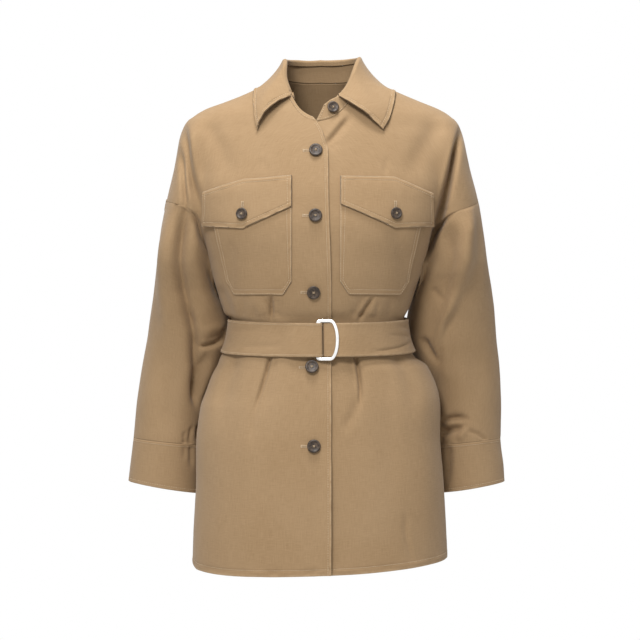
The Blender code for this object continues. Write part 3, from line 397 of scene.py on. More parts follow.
PANEL_CREASES = {-1: FRONT_CREASES, 1: BACK_CREASES}


def crease_shape(off_x, off_z, run_x, run_z, bow, half_width, height, lean):
    """One crease: a soft trough or ridge that may bow and lean, with tapered ends."""
    travel, aside = along_run(off_x, off_z, run_x, run_z)
    q = (aside - bow * 4 * travel * (1 - travel)) / half_width
    return (height * np.exp(-q * q) * (1 + 2 * lean * q)
            * ease(travel, *CREASE_START) * (1 - ease(travel, *CREASE_END)))


BELT_PRESS = (0.018, 0.027)


def belt_calm(points):
    """Nothing rises under the belt, which presses the cloth flat."""
    level = points[..., 2] - waist_tilt(points[..., 2]) * points[..., 1]
    return ease(np.abs(level - WAIST_LEVEL), *BELT_PRESS)


def panel_creases(face, points):
    total = np.zeros(points.shape[:-1])
    for x_0, z_0, x_1, z_1, *shape in PANEL_CREASES[face]:
        total += crease_shape(points[..., 0] - x_0, points[..., 2] - z_0, x_1 - x_0, z_1 - z_0, *shape)
    return total * belt_calm(points)


print("creases of the panels:", len(FRONT_CREASES + BACK_CREASES))

# %% Creases of the sleeves
# angle_0, level_0, angle_1, level_1, bow, half_width, height, lean
RIGHT_CREASES = (
    (60, -0.185, 62, -0.380, 0.0, 0.0180, 0.0085, 0.0),
    (89, -0.176, 92, -0.330, 0.0, 0.0080, -0.0100, 0.5),
    (91, -0.315, 110, -0.395, 0.0, 0.0080, -0.0090, 0.5),
    (107, -0.380, 140, -0.468, 0.0, 0.0085, -0.0075, 0.4),
    (103, -0.190, 117, -0.325, 0.0, 0.0085, 0.0026, 0.0),
    (110, -0.3725, 146, -0.3625, 0.002, 0.0048, -0.0050, 0.8),
    (112, -0.350, 146, -0.345, 0.0, 0.0080, 0.0030, 0.0),
    (122, -0.386, 136, -0.458, 0.0, 0.0085, -0.0110, 0.0),
    (80, -0.400, 95, -0.515, 0.0, 0.0140, -0.0022, 0.0),
    (40, -0.360, 60, -0.500, 0.0, 0.0160, 0.0018, 0.0),
    (148, -0.495, 150, -0.522, 0.0, 0.0040, -0.0034, 0.2),
    (132, -0.497, 130, -0.524, 0.0, 0.0036, -0.0030, 0.0),
    (120, -0.505, 123, -0.526, 0.0, 0.0036, -0.0022, 0.3),
    (165, -0.420, 150, -0.470, 0.0, 0.0090, -0.0022, 0.3),
    (134, -0.518, 141, -0.560, 0.0, 0.0045, -0.0030, 0.3),
    (122, -0.519, 124, -0.548, 0.0, 0.0040, -0.0020, 0.0),
    (250, -0.270, 285, -0.300, 0.004, 0.0080, -0.0030, 0.3),
    (240, -0.340, 290, -0.372, 0.004, 0.0090, -0.0034, -0.3),
    (255, -0.400, 280, -0.440, 0.0, 0.0110, -0.0022, 0.0),
    (205, -0.300, 240, -0.335, 0.0, 0.0080, -0.0028, 0.3),
)
LEFT_CREASES = (
    (66, -0.170, 86, -0.300, -0.003, 0.0095, 0.0085, 0.0),
    (86, -0.295, 116, -0.410, 0.0, 0.0080, 0.0080, -0.3),
    (96, -0.200, 104, -0.320, 0.0, 0.0090, -0.0075, 0.0),
    (93, -0.325, 122, -0.405, 0.0, 0.0070, -0.0085, 0.4),
    (50, -0.190, 66, -0.300, 0.0, 0.0120, -0.0030, 0.0),
    (135, -0.362, 124, -0.398, 0.0, 0.0070, -0.0075, 0.0),
    (122, -0.287, 104, -0.305, 0.0, 0.0050, -0.0028, 0.0),
    (144, -0.4905, 92, -0.4845, 0.0035, 0.0045, -0.0060, 0.0),
    (144, -0.506, 96, -0.4965, -0.0015, 0.0055, -0.0065, 0.0),
    (138, -0.4965, 100, -0.4905, 0.001, 0.0050, 0.0040, 0.0),
    (94, -0.504, 56, -0.5235, 0.003, 0.0036, -0.0028, 0.4),
    (95, -0.4985, 108, -0.5175, 0.0, 0.0055, 0.0035, 0.0),
    (60, -0.380, 85, -0.470, 0.0, 0.0150, -0.0020, 0.0),
    (140, -0.503, 142, -0.523, 0.0, 0.0036, -0.0026, 0.0),
    (126, -0.524, 141, -0.585, 0.0, 0.0085, -0.0042, 0.0),
    (250, -0.265, 285, -0.300, 0.004, 0.0080, -0.0030, 0.3),
    (240, -0.335, 290, -0.368, 0.004, 0.0090, -0.0034, -0.3),
    (255, -0.395, 280, -0.440, 0.0, 0.0110, -0.0022, 0.0),
    (205, -0.300, 240, -0.335, 0.0, 0.0080, -0.0028, 0.3),
)
SLEEVE_CREASES = {-1: RIGHT_CREASES, 1: LEFT_CREASES}


def sleeve_creases(side, points):
    centre_x, half_x, middle_y, half_y = arm_section(side, points[..., 2])
    around = 0.5 * (half_x + half_y)
    angle = np.degrees(np.arctan2(-(points[..., 1] - middle_y), side * points[..., 0] - centre_x))
    total = fold_height(around, angle, points[..., 2], SLEEVE_FOLDS[side])
    for angle_0, level_0, angle_1, level_1, *shape in SLEEVE_CREASES[side]:
        total += crease_shape(turn_from(angle_0, angle) * around, points[..., 2] - level_0,
                              math.radians(angle_1 - angle_0) * around, level_1 - level_0, *shape)
    return total


print("creases of the sleeves:", len(RIGHT_CREASES + LEFT_CREASES))

# %% [markdown]
# ## The hand of the cloth
# Between its creases a cotton panel is never quite smooth: it waves a little along the hang of the cloth.
# A slow noise, stretched downwards and read at each point, is continuous across seams because it only
# asks where a point is.

# %% Slow ripples
# length, height, stretch downwards
RIPPLES = ((0.055, 0.00060, 0.45), (0.021, 0.00022, 0.60), (0.009, 0.00007, 1.0))


def ripple(points, strength=1.0):
    flat = points.reshape(-1, 3)
    total = np.zeros(len(flat))
    for length, height, stretch in RIPPLES:
        scaled = flat / length * [1.0, 1.0, stretch]
        total += height * np.array([noise.noise(Vector(place)) for place in scaled.tolist()])
    return strength * total.reshape(points.shape[:-1])


print("ripples of", [round(length * 1000) for length, height, stretch in RIPPLES], "mm")

# %% [markdown]
# ## Panels as grids of points
# Each panel is a grid that follows its own edges: up from the hem, round the armhole, along the shoulder
# seam to the neck. Rows and columns stand closer together beside hems and free edges, where stitching
# pulls the cloth into small puckers.

# %% Grids of the body
def count(number):
    return max(3, round(number * FINENESS))


def spread(middle, start=0, end=0, fine=0.45):
    """Shares from 0 to 1, closer together at the start and the end."""
    steps = np.concatenate([np.full(count(start) if start else 0, fine), np.ones(count(middle)),
                            np.full(count(end) if end else 0, fine)])
    return np.concatenate([[0.0], np.cumsum(steps)]) / steps.sum()


def torso_points(angle, level):
    """Points of the belted body at angles round it from the front."""
    sine, cosine = np.sin(np.radians(angle)), np.cos(np.radians(angle))
    half_width = TORSO_AT["half_width"](level)
    depth = np.where(cosine > 0, TORSO_AT["front"](level), TORSO_AT["back"](level))
    power = TORSO_AT["squareness"](level)
    radius = ((np.abs(sine) / half_width) ** power + (np.abs(cosine) / depth) ** power) ** (-1 / power)
    y = -radius * cosine
    return np.stack([radius * sine + TORSO_AT["middle"](level), y, level + waist_tilt(level) * y], -1)


def middle_x(side, face, z):
    if face > 0:
        return np.zeros_like(np.asarray(z, float))
    return EDGE_AT[HAND[side] + "_edge"](z)


def body_angles(side, face, share, level):
    if face > 0:
        return side * (180 - share * 90)
    edge = middle_x(side, face, level) - TORSO_AT["middle"](level)
    start = np.degrees(np.arcsin(edge / TORSO_AT["front"](level)))
    return start + share * (side * 90 - start)


HEM_RISE = spread(12, start=12)
SKIRT_LEVELS = np.linspace(SKIRT_LEVEL, UNDERARM_LEVEL, count(140) + 1)[1:]
ARMHOLE_ROWS = count(66)
SHOULDER_SHARES = spread(58, end=8)[1:]
SIDE_EASE, RIDGE_EASE, TILT_EASE = 2.2, 1.2, 1.2


def body_grid(side, face, share):
    """Half of the body from its middle edge to the side, armhole and shoulder seams."""
    hem_angle = body_angles(side, face, share, np.full(len(share), HEM_LEVEL))
    hem = HEM_AT["level"]((hem_angle + 180) % 360 - 180)
    levels = np.concatenate([hem + (SKIRT_LEVEL - hem) * HEM_RISE[:, None],
                             np.broadcast_to(SKIRT_LEVELS[:, None], (len(SKIRT_LEVELS), len(share)))])
    lower = torso_points(body_angles(side, face, share[None, :], levels), levels)
    reach = (lower[-1, :, 0] - lower[-1, 0, 0]) / (lower[-1, -1, 0] - lower[-1, 0, 0])
    name = "front_level" if face < 0 else "back_level"
    place = np.linspace(0, len(ARMHOLE) - 1, ARMHOLE_ROWS + 1)[1:]
    climb = SHOULDER_SHARES * (len(SHOULDER) - 1)
    hand = HAND[side]
    seam_z = np.concatenate([ARMHOLE_AT[hand + "_level"](place), SHOULDER_AT["seam_level"](climb)])
    ridge = seam_reach(side, seam_z)
    seam_x = ridge.copy()
    from_side = (side * lower[-1, -1, 0] - ARMHOLE[0][2]) * (1 - ease(place, 0.0, SIDE_EASE))
    hole_x = ARMHOLE_AT[hand + "_x"](place) + from_side
    to_ridge = ease(place, place[-1] - RIDGE_EASE, place[-1])
    seam_x[:len(place)] = hole_x + (ridge[:len(place)] - hole_x) * to_ridge
    middle = np.concatenate([ARMHOLE_AT[name](place), SHOULDER_AT[name](climb)])
    neck_sag = FRONT_NECK_SAG if face < 0 else BACK_NECK_SAG
    sag = np.concatenate([np.zeros(len(place)), neck_sag * SHOULDER_SHARES ** 3])
    settling = np.concatenate([1 - ease(place, 0.0, TILT_EASE), np.zeros(len(climb))])
    start = middle_x(side, face, middle) + (lower[-1, 0, 0] - middle_x(side, face, UNDERARM_LEVEL)) * settling
    x = start[:, None] + (side * seam_x - start)[:, None] * reach
    scoop = np.sin(np.pi * reach) if face < 0 else np.cos(0.5 * np.pi * reach)
    z = middle[:, None] + (seam_z - middle)[:, None] * reach - sag[:, None] * scoop
    z = z + (lower[-1, :, 2] - UNDERARM_LEVEL) * settling[:, None]
    y = form_depth(side, face, x, z)
    y[np.abs(seam_x - ridge) < 1e-4, -1] = 0.0
    return np.concatenate([lower, np.stack([x, y, z], -1)])


EDGE_COLUMNS_ALIKE = 2


def grid_normal(points, closed=False):
    """Directions square to a grid. The last columns take their neighbour's, as rows may end along a seam."""
    if closed:
        points = np.concatenate([points[:, -1:], points, points[:, :1]], axis=1)
    normal = unit(np.cross(np.gradient(points, axis=1), np.gradient(points, axis=0)))
    if closed:
        return normal[:, 1:-1]
    normal[:, :EDGE_COLUMNS_ALIKE] = normal[:, EDGE_COLUMNS_ALIKE, None]
    normal[:, -EDGE_COLUMNS_ALIKE:] = normal[:, -EDGE_COLUMNS_ALIKE - 1, None]
    return normal


def outward(points, closed=False, centre=None):
    """Normals of a grid, turned away from the line or point that it wraps."""
    normal = grid_normal(points, closed)
    inside = points * [0, 0, 1] if centre is None else centre
    return normal if ((points - inside) * normal).sum() > 0 else -normal


SHARES = {-1: spread(100, start=14, end=8), 1: spread(54, end=6)}
plain = {(side, face): body_grid(side, face, SHARES[face]) for side in (-1, 1) for face in (-1, 1)}
print("points of a front:", plain[1, -1].shape[:2], "of half the back:", plain[1, 1].shape[:2])

# %% [markdown]
# ## Edges, puckers and the right front's lifted edge
# Topstitching shrinks a little in the wash, so the cloth between the stitches and the edge puckers in
# short uneven bumps, and the stitch line itself sits in a small ditch. Every grid can be turned so that
# the edge in question is its first row, and then one helper serves all edges.

# %% Puckered edges
def lengths(points, axis=0):
    step = np.linalg.norm(np.diff(points, axis=axis), axis=-1)
    return np.concatenate([np.zeros_like(np.take(step, [0], axis)), np.cumsum(step, axis)], axis)


def edge_first(grid, edge):
    """The grid with the named edge as its first row."""
    if edge == "row_0":
        return grid
    if edge == "row_end":
        return grid[::-1]
    turned = np.swapaxes(grid, 0, 1)
    return turned if edge == "column_0" else turned[::-1]


def edge_last(grid, edge):
    """Undo edge_first."""
    if edge.startswith("row"):
        return edge_first(grid, edge)
    return np.swapaxes(grid if edge == "column_0" else grid[::-1], 0, 1)


def inward(turned):
    """Directions from the first row of a grid into it, square to that row."""
    along = unit(np.gradient(turned[0], axis=0))
    step = turned[1] - turned[0]
    return unit(step - (step * along).sum(-1, keepdims=True) * along)


def uneven(along, pitch, seed):
    """A line of bumps between -1 and 1 with uneven spacing."""
    rng = np.random.default_rng(seed)
    number = int(along.max() / pitch) + 4
    knots = np.concatenate([[-pitch], -pitch + np.cumsum(pitch * rng.uniform(0.55, 1.5, number * 2))])
    return curve_through(knots, rng.uniform(-1, 1, len(knots)))(along)


PUCKER_MIDDLE, PUCKER_SPREAD, DITCH_WIDTH = 0.62, 0.50, 0.0012


def pucker(points, edge, inset, pitch, height, ditch, seed):
    """Heights of the bumps and the ditch along one stitched edge."""
    turned = edge_first(points, edge)
    depth = lengths(turned)
    along = lengths(turned[:1], axis=1)
    bumps = uneven(along, pitch, seed) * np.exp(
        -((depth - PUCKER_MIDDLE * inset) / (PUCKER_SPREAD * inset)) ** 2)
    groove = np.exp(-((depth - inset) / DITCH_WIDTH) ** 2)
    return edge_last(height * bumps - ditch * groove, edge)


def seam_roll(points, edge, height=0.0002, width=0.0020):
    """A sewn edge dips into its seam."""
    depth = lengths(edge_first(points, edge))
    return edge_last(-height * np.exp(-(depth / width) ** 2), edge)


EDGE_WAVE_COLUMNS = ("level", "lift")
EDGE_WAVE = (
    (-0.715, 0.0056), (-0.640, 0.0066), (-0.560, 0.0050), (-0.520, 0.0022), (-0.470, 0.0036),
    (-0.420, 0.0012), (-0.390, 0.0000), (-0.310, 0.0000), (-0.290, 0.0004), (-0.225, 0.0020),
    (-0.185, 0.0004), (-0.140, 0.0012), (-0.100, 0.0020), (-0.080, 0.0004), (-0.040, 0.0000),
)
EDGE_WAVE_AT = table_curves(EDGE_WAVE, EDGE_WAVE_COLUMNS, "level")
EDGE_WAVE_REACH, EDGE_WAVE_POWER = 0.024, 1.6


def edge_wave(points):
    """The free edge of the right front stands off between its buttons."""
    edge = EDGE_AT["right_edge"](points[..., 2])
    near = np.clip(1 - (edge - points[..., 0]) / EDGE_WAVE_REACH, 0, 1)
    return EDGE_WAVE_AT["lift"](points[..., 2]) * near ** EDGE_WAVE_POWER * (points[..., 1] < 0)


RIPPLE_AT_BELT = 0.25


def soft_height(side, points):
    """Long folds, the overlap and ripples, which the belt calms."""
    calmed = RIPPLE_AT_BELT + (1 - RIPPLE_AT_BELT) * belt_calm(points)
    return body_folds(points) + overlap_lift(side, points) + ripple(points) * calmed


def cloth_height(side, face, points):
    """All that stands off the plain form at a point of a front or the back."""
    return soft_height(side, points) + panel_creases(face, points)


print("the right front's edge stands off by up to %.1f mm" % (1000 * max(lift for level, lift in EDGE_WAVE)))

# %% [markdown]
# ## Panels with their folds
# Each plain grid is now moved by its folds and creases. Along the front of each armhole the cloth sinks
# into a valley, and creases may run across the seam into the sleeve, which needs to know how far the seam
# sank. The creases of the fronts are pressed mostly straight back: moved square to the form, they would
# fan out in the hollow beside the sleeve. Front and back share one direction along their side and
# shoulder seams, so that they meet there.

# %% Form the fronts and the back
VALLEY_COLUMNS = ("place", "right", "left")
VALLEY = (
    (0.0, 0.0, 0.0), (0.7, 0.0045, 0.0100), (1.6, 0.0070, 0.0160), (2.5, 0.0080, 0.0150),
    (3.0, 0.0060, 0.0090), (3.5, 0.0018, 0.0020), (4.0, 0.0, 0.0), (5.0, 0.0, 0.0),
)
VALLEY_AT = table_curves(VALLEY, VALLEY_COLUMNS, "place")
VALLEY_WIDTH, VALLEY_WIDTH_SLEEVE = 0.0032, {-1: 0.012, 1: 0.0065}
CREASE_WAY = (0.3, 1.0, 0.3)
CROSSED_FROM, CROSSED_TO = (0.0, 0.8), (3.6, 4.6)
JOINED_FOOT, JOINED_TOP, JOINED_SHARE, CALM_SHARE = (0.0, 0.6), (4.4, 5.0), 0.06, 0.07
ARMHOLE_START = len(HEM_RISE) + len(SKIRT_LEVELS) - 1
ARMHOLE_SPAN = slice(ARMHOLE_START, ARMHOLE_START + ARMHOLE_ROWS + 1)
ARMHOLE_PLACES = np.linspace(0, len(ARMHOLE) - 1, ARMHOLE_ROWS + 1)


def seam_valley(side, rows):
    """How far the front armhole seam sinks in, and how freely creases cross it, row by row."""
    depth, crossed = np.zeros(rows), np.zeros(rows)
    depth[ARMHOLE_SPAN] = VALLEY_AT[HAND[side]](ARMHOLE_PLACES)
    begun, ended = ease(ARMHOLE_PLACES, *CROSSED_FROM), ease(ARMHOLE_PLACES, *CROSSED_TO)
    crossed[ARMHOLE_SPAN] = begun * (1 - ended)
    return depth, crossed


def seam_ways():
    """Directions out of the panels, alike on both sides of the side and shoulder seams."""
    ways = {key: outward(grid) for key, grid in plain.items()}
    joined = np.ones(len(plain[1, 1]))
    foot, top = ease(ARMHOLE_PLACES, *JOINED_FOOT), ease(ARMHOLE_PLACES, *JOINED_TOP)
    joined[ARMHOLE_SPAN] = np.maximum(1 - foot, top)
    for side in (-1, 1):
        shared = unit(ways[side, -1][:, -1] + ways[side, 1][:, -1])[:, None]
        for face, shares in SHARES.items():
            near = joined[:, None] * (1 - ease(1 - shares, 0.0, JOINED_SHARE))
            ways[side, face] = unit(ways[side, face] + (shared - ways[side, face]) * near[..., None])
    return ways


formed, sunk, ways = {}, {}, seam_ways()
for (side, face), grid in plain.items():
    away = ease(1 - SHARES[face], 0.0, CALM_SHARE)
    height = soft_height(side, grid)
    creases, way = panel_creases(face, grid), ways[side, face]
    if face < 0:
        depth, crossed = seam_valley(side, len(grid))
        away = away + (1 - away) * crossed[:, None]
        from_seam = edge_last(lengths(edge_first(grid, "column_end")), "column_end")
        creases = creases * away - depth[:, None] * np.exp(-(from_seam / VALLEY_WIDTH) ** 2)
        way = unit(way * CREASE_WAY)
        sunk[side] = -creases[ARMHOLE_SPAN, -1:] * way[ARMHOLE_SPAN, -1]
    else:
        creases = creases * away
    if (side, face) == (-1, -1):
        height = height + edge_wave(grid)
    formed[side, face] = grid + ways[side, face] * height[..., None] + way * creases[..., None]
for side in (-1, 1):
    gap = np.linalg.norm(formed[side, -1][:, -1] - formed[side, 1][:, -1], axis=1)
    print("side %+d: seams of front and back meet within %.2f mm below and %.2f mm above the armhole"
          % (side, 1000 * gap[:ARMHOLE_START].max(), 1000 * gap[ARMHOLE_SPAN.stop - 1:].max()))
print("deepest crease of the right front %.1f mm" % (1000 * panel_creases(-1, plain[-1, -1]).min()))

# %% [markdown]
# ## Khaki cloth
# The cloth is a washed cotton in a plain weave with uneven yarns: thick places show as short streaks
# along and across. The pattern has to follow the cut of each piece, so it reads a UV map in metres that
# the grids give. Two wave textures make the yarns, stretched noise makes the slubs, and slow noise in
# object space makes the faded patches. The constant numbers sit on the shader itself, where an export
# keeps them.

# %% Cloth material
KHAKI = (0.300, 0.196, 0.102)
KHAKI_DEEP = (0.238, 0.150, 0.075)
# The pale khaki serves the faded patches, which are the cloth's own, and the pale edges, which are partly real
# wear and partly a painted highlight.
KHAKI_WORN_AND_LIT = (0.400, 0.280, 0.165)
YARN = 0.00075


def link_noise(tree, vector, scale, detail=2.0, rough=0.5):
    node = tree.nodes.new("ShaderNodeTexNoise")
    node.inputs["Scale"].default_value = scale
    node.inputs["Detail"].default_value = detail
    node.inputs["Roughness"].default_value = rough
    tree.links.new(vector, node.inputs["Vector"])
    return node.outputs["Fac"]


def link_math(tree, kind, first, second):
    node = tree.nodes.new("ShaderNodeMath")
    node.operation = kind
    for socket, value in zip(node.inputs, (first, second)):
        if isinstance(value, (int, float)):
            socket.default_value = value
        else:
            tree.links.new(value, socket)
    return node.outputs[0]


def link_range(tree, value, low, high, to_low, to_high):
    node = tree.nodes.new("ShaderNodeMapRange")
    for name, number in (("From Min", low), ("From Max", high), ("To Min", to_low), ("To Max", to_high)):
        node.inputs[name].default_value = number
    tree.links.new(value, node.inputs["Value"])
    return node.outputs["Result"]


def link_mix(tree, factor, first, second):
    node = tree.nodes.new("ShaderNodeMix")
    node.data_type = "RGBA"
    tree.links.new(factor, node.inputs["Factor"])
    for name, value in (("A", first), ("B", second)):
        socket = next(s for s in node.inputs if s.name == name and s.type == "RGBA")
        if isinstance(value, tuple):
            socket.default_value = (*value, 1.0)
        else:
            tree.links.new(value, socket)
    return next(s for s in node.outputs if s.type == "RGBA")


def scaled(tree, vector, scale):
    node = tree.nodes.new("ShaderNodeMapping")
    node.inputs["Scale"].default_value = scale
    tree.links.new(vector, node.inputs["Vector"])
    return node.outputs["Vector"]


def object_place(tree):
    return tree.nodes.new("ShaderNodeTexCoord").outputs["Object"]


def link_bump(tree, shader, height, strength, distance):
    node = tree.nodes.new("ShaderNodeBump")
    node.inputs["Strength"].default_value = strength
    node.inputs["Distance"].default_value = distance
    tree.links.new(height, node.inputs["Height"])
    tree.links.new(node.outputs["Normal"], shader.inputs["Normal"])


def new_material(name):
    material = bpy.data.materials.new(name)
    material.use_nodes = True
    return material, material.node_tree, material.node_tree.nodes["Principled BSDF"]


def yarn_wave(tree, vector, direction):
    node = tree.nodes.new("ShaderNodeTexWave")
    node.bands_direction = direction
    node.inputs["Scale"].default_value = 0.314 / YARN
    node.inputs["Distortion"].default_value = 1.2
    node.inputs["Detail"].default_value = 1.0
    node.inputs["Detail Scale"].default_value = 0.4
    tree.links.new(vector, node.inputs["Vector"])
    return node.outputs["Fac"]


def make_khaki_cloth():
    material, tree, shader = new_material("khaki_cotton")
    threads = tree.nodes.new("ShaderNodeUVMap")
    threads.uv_map = "threads"
    uv = threads.outputs["UV"]
    place = object_place(tree)
    wear_and_highlight = tree.nodes.new("ShaderNodeAttribute")
    wear_and_highlight.attribute_name = "wear_and_highlight"
    slub_across = link_noise(tree, scaled(tree, uv, (70.0, 900.0, 1.0)), 1.0, 2.0, 0.6)
    slub_down = link_noise(tree, scaled(tree, uv, (900.0, 55.0, 1.0)), 1.0, 2.0, 0.6)
    patches = link_noise(tree, place, 7.0, 4.0, 0.6)
    streaks = link_math(tree, "ADD", slub_across, slub_down)
    shade = link_range(tree, streaks, 0.62, 1.38, 0.0, 1.0)
    cloth = link_mix(tree, shade, KHAKI_DEEP, KHAKI)
    faded = link_range(tree, patches, 0.35, 0.75, 0.0, 0.22)
    cloth = link_mix(tree, faded, cloth, KHAKI_WORN_AND_LIT)
    # Near the listed edges the cloth is mixed towards the pale khaki: partly real wear of washed cotton, partly
    # a painted highlight along the puckered edges.
    spots = link_range(tree, link_noise(tree, place, 160.0), 0.35, 0.7, 0.1, 0.75)
    rubbed_and_lit = link_math(tree, "MULTIPLY", wear_and_highlight.outputs["Fac"], spots)
    cloth = link_mix(tree, rubbed_and_lit, cloth, KHAKI_WORN_AND_LIT)
    tree.links.new(cloth, shader.inputs["Base Color"])
    tree.links.new(link_range(tree, streaks, 0.6, 1.4, 0.92, 0.80), shader.inputs["Roughness"])
    shader.inputs["Specular IOR Level"].default_value = 0.25
    shader.inputs["Sheen Weight"].default_value = 0.10
    shader.inputs["Sheen Roughness"].default_value = 0.5
    weave = link_math(tree, "ADD", yarn_wave(tree, uv, "X"), yarn_wave(tree, uv, "Y"))
    yarns = link_math(tree, "MULTIPLY", weave, 0.5)
    slubs = link_math(tree, "MULTIPLY", streaks, 0.9)
    relief = link_math(tree, "ADD", yarns, slubs)
    link_bump(tree, shader, relief, 0.35, 0.00025)
    return material


khaki_cotton = make_khaki_cloth()
print("yarns of %.2f mm, %d nodes" % (1000 * YARN, len(khaki_cotton.node_tree.nodes)))

# %% [markdown]
# ## Cloth with a thickness
# A Solidify modifier could give the grids a wall, but its rim is a sharp square. Cut cloth is turned in
# and pressed, so its edge is round. The shell below makes the outer and the inner face and a rounded rim
# in one closed mesh, with the UV map in metres and a wear_and_highlight value that fades away from the
# listed edges, where the material pales the cloth: partly real wear, partly a painted highlight.
# Sewn edges stay nearly flush, so that a seam closes. Each face is cut along its shorter diagonal,
# because a narrow crease that slants across the grid would otherwise come out as a saw.

# %% Shell of cloth
pieces = {}
# The pale band along the listed edges, partly real wear and partly painted highlight, fades out over this
# reach.
RIM_SEWN, RIM_FREE, WEAR_AND_HIGHLIGHT_REACH = 0.02, 0.45, 0.0045


def show(item):
    bpy.context.scene.collection.objects.link(item)


def baked(item):
    """The mesh of an item, in place and with its modifiers applied. The item itself goes."""
    graph = bpy.context.evaluated_depsgraph_get()
    mesh = bpy.data.meshes.new_from_object(item.evaluated_get(graph))
    mesh.transform(item.matrix_world)
    bpy.data.objects.remove(item)
    return mesh


def add_piece(name, mesh, material):
    item = bpy.data.objects.new(name, mesh)
    mesh.materials.clear()
    mesh.materials.append(material)
    show(item)
    pieces[name] = item
    return item


def grid_faces(rows, columns, closed):
    wide = columns + 1 if closed else columns
    r, c = np.meshgrid(np.arange(rows - 1), np.arange(wide - 1), indexing="ij")
    corners = [(r, c), (r, c + 1), (r + 1, c + 1), (r + 1, c)]
    faces = np.stack([(i * columns + j % columns).ravel() for i, j in corners], -1)
    marks = np.stack([(i * wide + j).ravel() for i, j in corners], -1)
    return faces, marks


def rim_loops(rows, columns, closed):
    if closed:
        ring = np.arange(columns + 1)
        return [[(0, c) for c in ring], [(rows - 1, c) for c in ring[::-1]]]
    loop = [(0, c) for c in range(columns)] + [(r, columns - 1) for r in range(1, rows)]
    loop += [(rows - 1, c) for c in range(columns - 2, -1, -1)] + [(r, 0) for r in range(rows - 2, 0, -1)]
    return [loop + loop[:1]]


def cut_short(faces, marks, vertices):
    """Cut four-sided faces along their shorter diagonal, which runs along a crease and not across it."""
    first, second = (np.linalg.norm(vertices[faces[:, k]] - vertices[faces[:, k + 2]], axis=1)
                     for k in (0, 1))
    shorter = (first <= second)[:, None]
    halves = [[np.where(shorter, item[:, [0, 1, 2]], item[:, [0, 1, 3]]),
               np.where(shorter, item[:, [0, 2, 3]], item[:, [1, 2, 3]])] for item in (faces, marks)]
    return np.concatenate(halves[0]), np.concatenate(halves[1])


def shell(name, points, thickness, closed=False, centre=None, worn_and_lit=(), sewn=()):
    """A closed skin of cloth whose outer face runs through the points of a grid."""
    rows, columns = points.shape[:2]
    normal = outward(points, closed, centre)
    flipped = (normal * grid_normal(points, closed)).sum() < 0
    drawn = points.copy()
    for edge in ("row_0", "row_end") + (() if closed else ("column_0", "column_end")):
        turned, origin = edge_first(drawn, edge), edge_first(points, edge)
        turned[0] += (RIM_SEWN if edge in sewn else RIM_FREE) * thickness * inward(origin)
    inner = drawn - normal * thickness
    halfway = points - normal * thickness / 2
    wide = np.concatenate([points, points[:, :1]], axis=1) if closed else points
    across, down = lengths(wide, axis=1), lengths(wide, axis=0)
    across = across - across[:, :1] - 0.5 * (across[:, -1:] if not closed else 0)
    uv = np.stack([across, down], -1).reshape(-1, 2)
    faces, marks = grid_faces(rows, columns, closed)
    size = rows * columns
    all_faces, all_marks = [faces, (faces + size)[:, ::-1]], [marks, marks[:, ::-1]]
    vertices = [drawn.reshape(-1, 3), inner.reshape(-1, 3)]
    start = 2 * size
    for loop in rim_loops(rows, columns, closed):
        spots = np.array([r * columns + c % columns for r, c in loop])
        spot_marks = np.array([r * wide.shape[1] + c for r, c in loop])
        turn = len(loop) - 1
        mid = start + np.arange(turn + 1) % turn
        vertices.append(halfway.reshape(-1, 3)[spots[:-1]])
        a, b, m_a, m_b = spots[:-1], spots[1:], mid[:-1], mid[1:]
        all_faces += [np.stack([b, a, m_a, m_b], -1), np.stack([m_b, m_a, a + size, b + size], -1)]
        all_marks += [np.stack([spot_marks[1:], spot_marks[:-1], spot_marks[:-1], spot_marks[1:]], -1)] * 2
        start += turn
    faces, marks = np.concatenate(all_faces), np.concatenate(all_marks)
    if flipped:
        faces, marks = faces[:, ::-1], marks[:, ::-1]
    vertices = np.concatenate(vertices)
    faces, marks = cut_short(faces, marks, vertices)
    mesh = bpy.data.meshes.new(name)
    mesh.from_pydata(vertices.tolist(), [], faces.tolist())
    mesh.uv_layers.new(name="threads").data.foreach_set("uv", uv[marks.ravel()].ravel())
    # Near the listed edges the value rises, and the material pales the cloth there: partly real wear, partly a
    # painted highlight.
    rubbed_and_lit = np.zeros((rows, columns))
    for edge in worn_and_lit:
        near_edge = 1 - ease(lengths(edge_first(points, edge)), 0.0, WEAR_AND_HIGHLIGHT_REACH)
        rubbed_and_lit = np.maximum(rubbed_and_lit, edge_last(near_edge, edge))
    rim = np.full(len(vertices) - 2 * size, 1.0 if worn_and_lit else 0.0)
    value = np.concatenate([rubbed_and_lit.ravel(), rubbed_and_lit.ravel(), rim])
    mesh.attributes.new("wear_and_highlight", "FLOAT", "POINT").data.foreach_set("value", value)
    mesh.polygons.foreach_set("use_smooth", np.ones(len(faces), bool))
    mesh.validate()
    return add_piece(name, mesh, khaki_cotton)


def cloth_area(item):
    return 0.5 * sum(face.area for face in item.data.polygons)


def tell_area(name):
    print(name, "%.4f square metres" % cloth_area(pieces[name]))


print("shells can be made")

# %% [markdown]
# ## Fronts and back
# The fronts are single layers turned in along the opening and the hem, and the back is one piece without
# a centre seam. Their sewn edges are drawn back by a hair so that no two pieces share a place. The stitch
# lines are remembered for later as lines of points with the direction out of the cloth.

# %% Pull back sewn edges and remember stitch lines
def pull_back(points, edges):
    moved = points.copy()
    for edge in edges:
        turned = edge_first(moved, edge)
        turned[0] += SEAM_GAP * inward(turned)
    return moved


stitch_lines = {}
STITCH_LINE_STEP = 0.0016


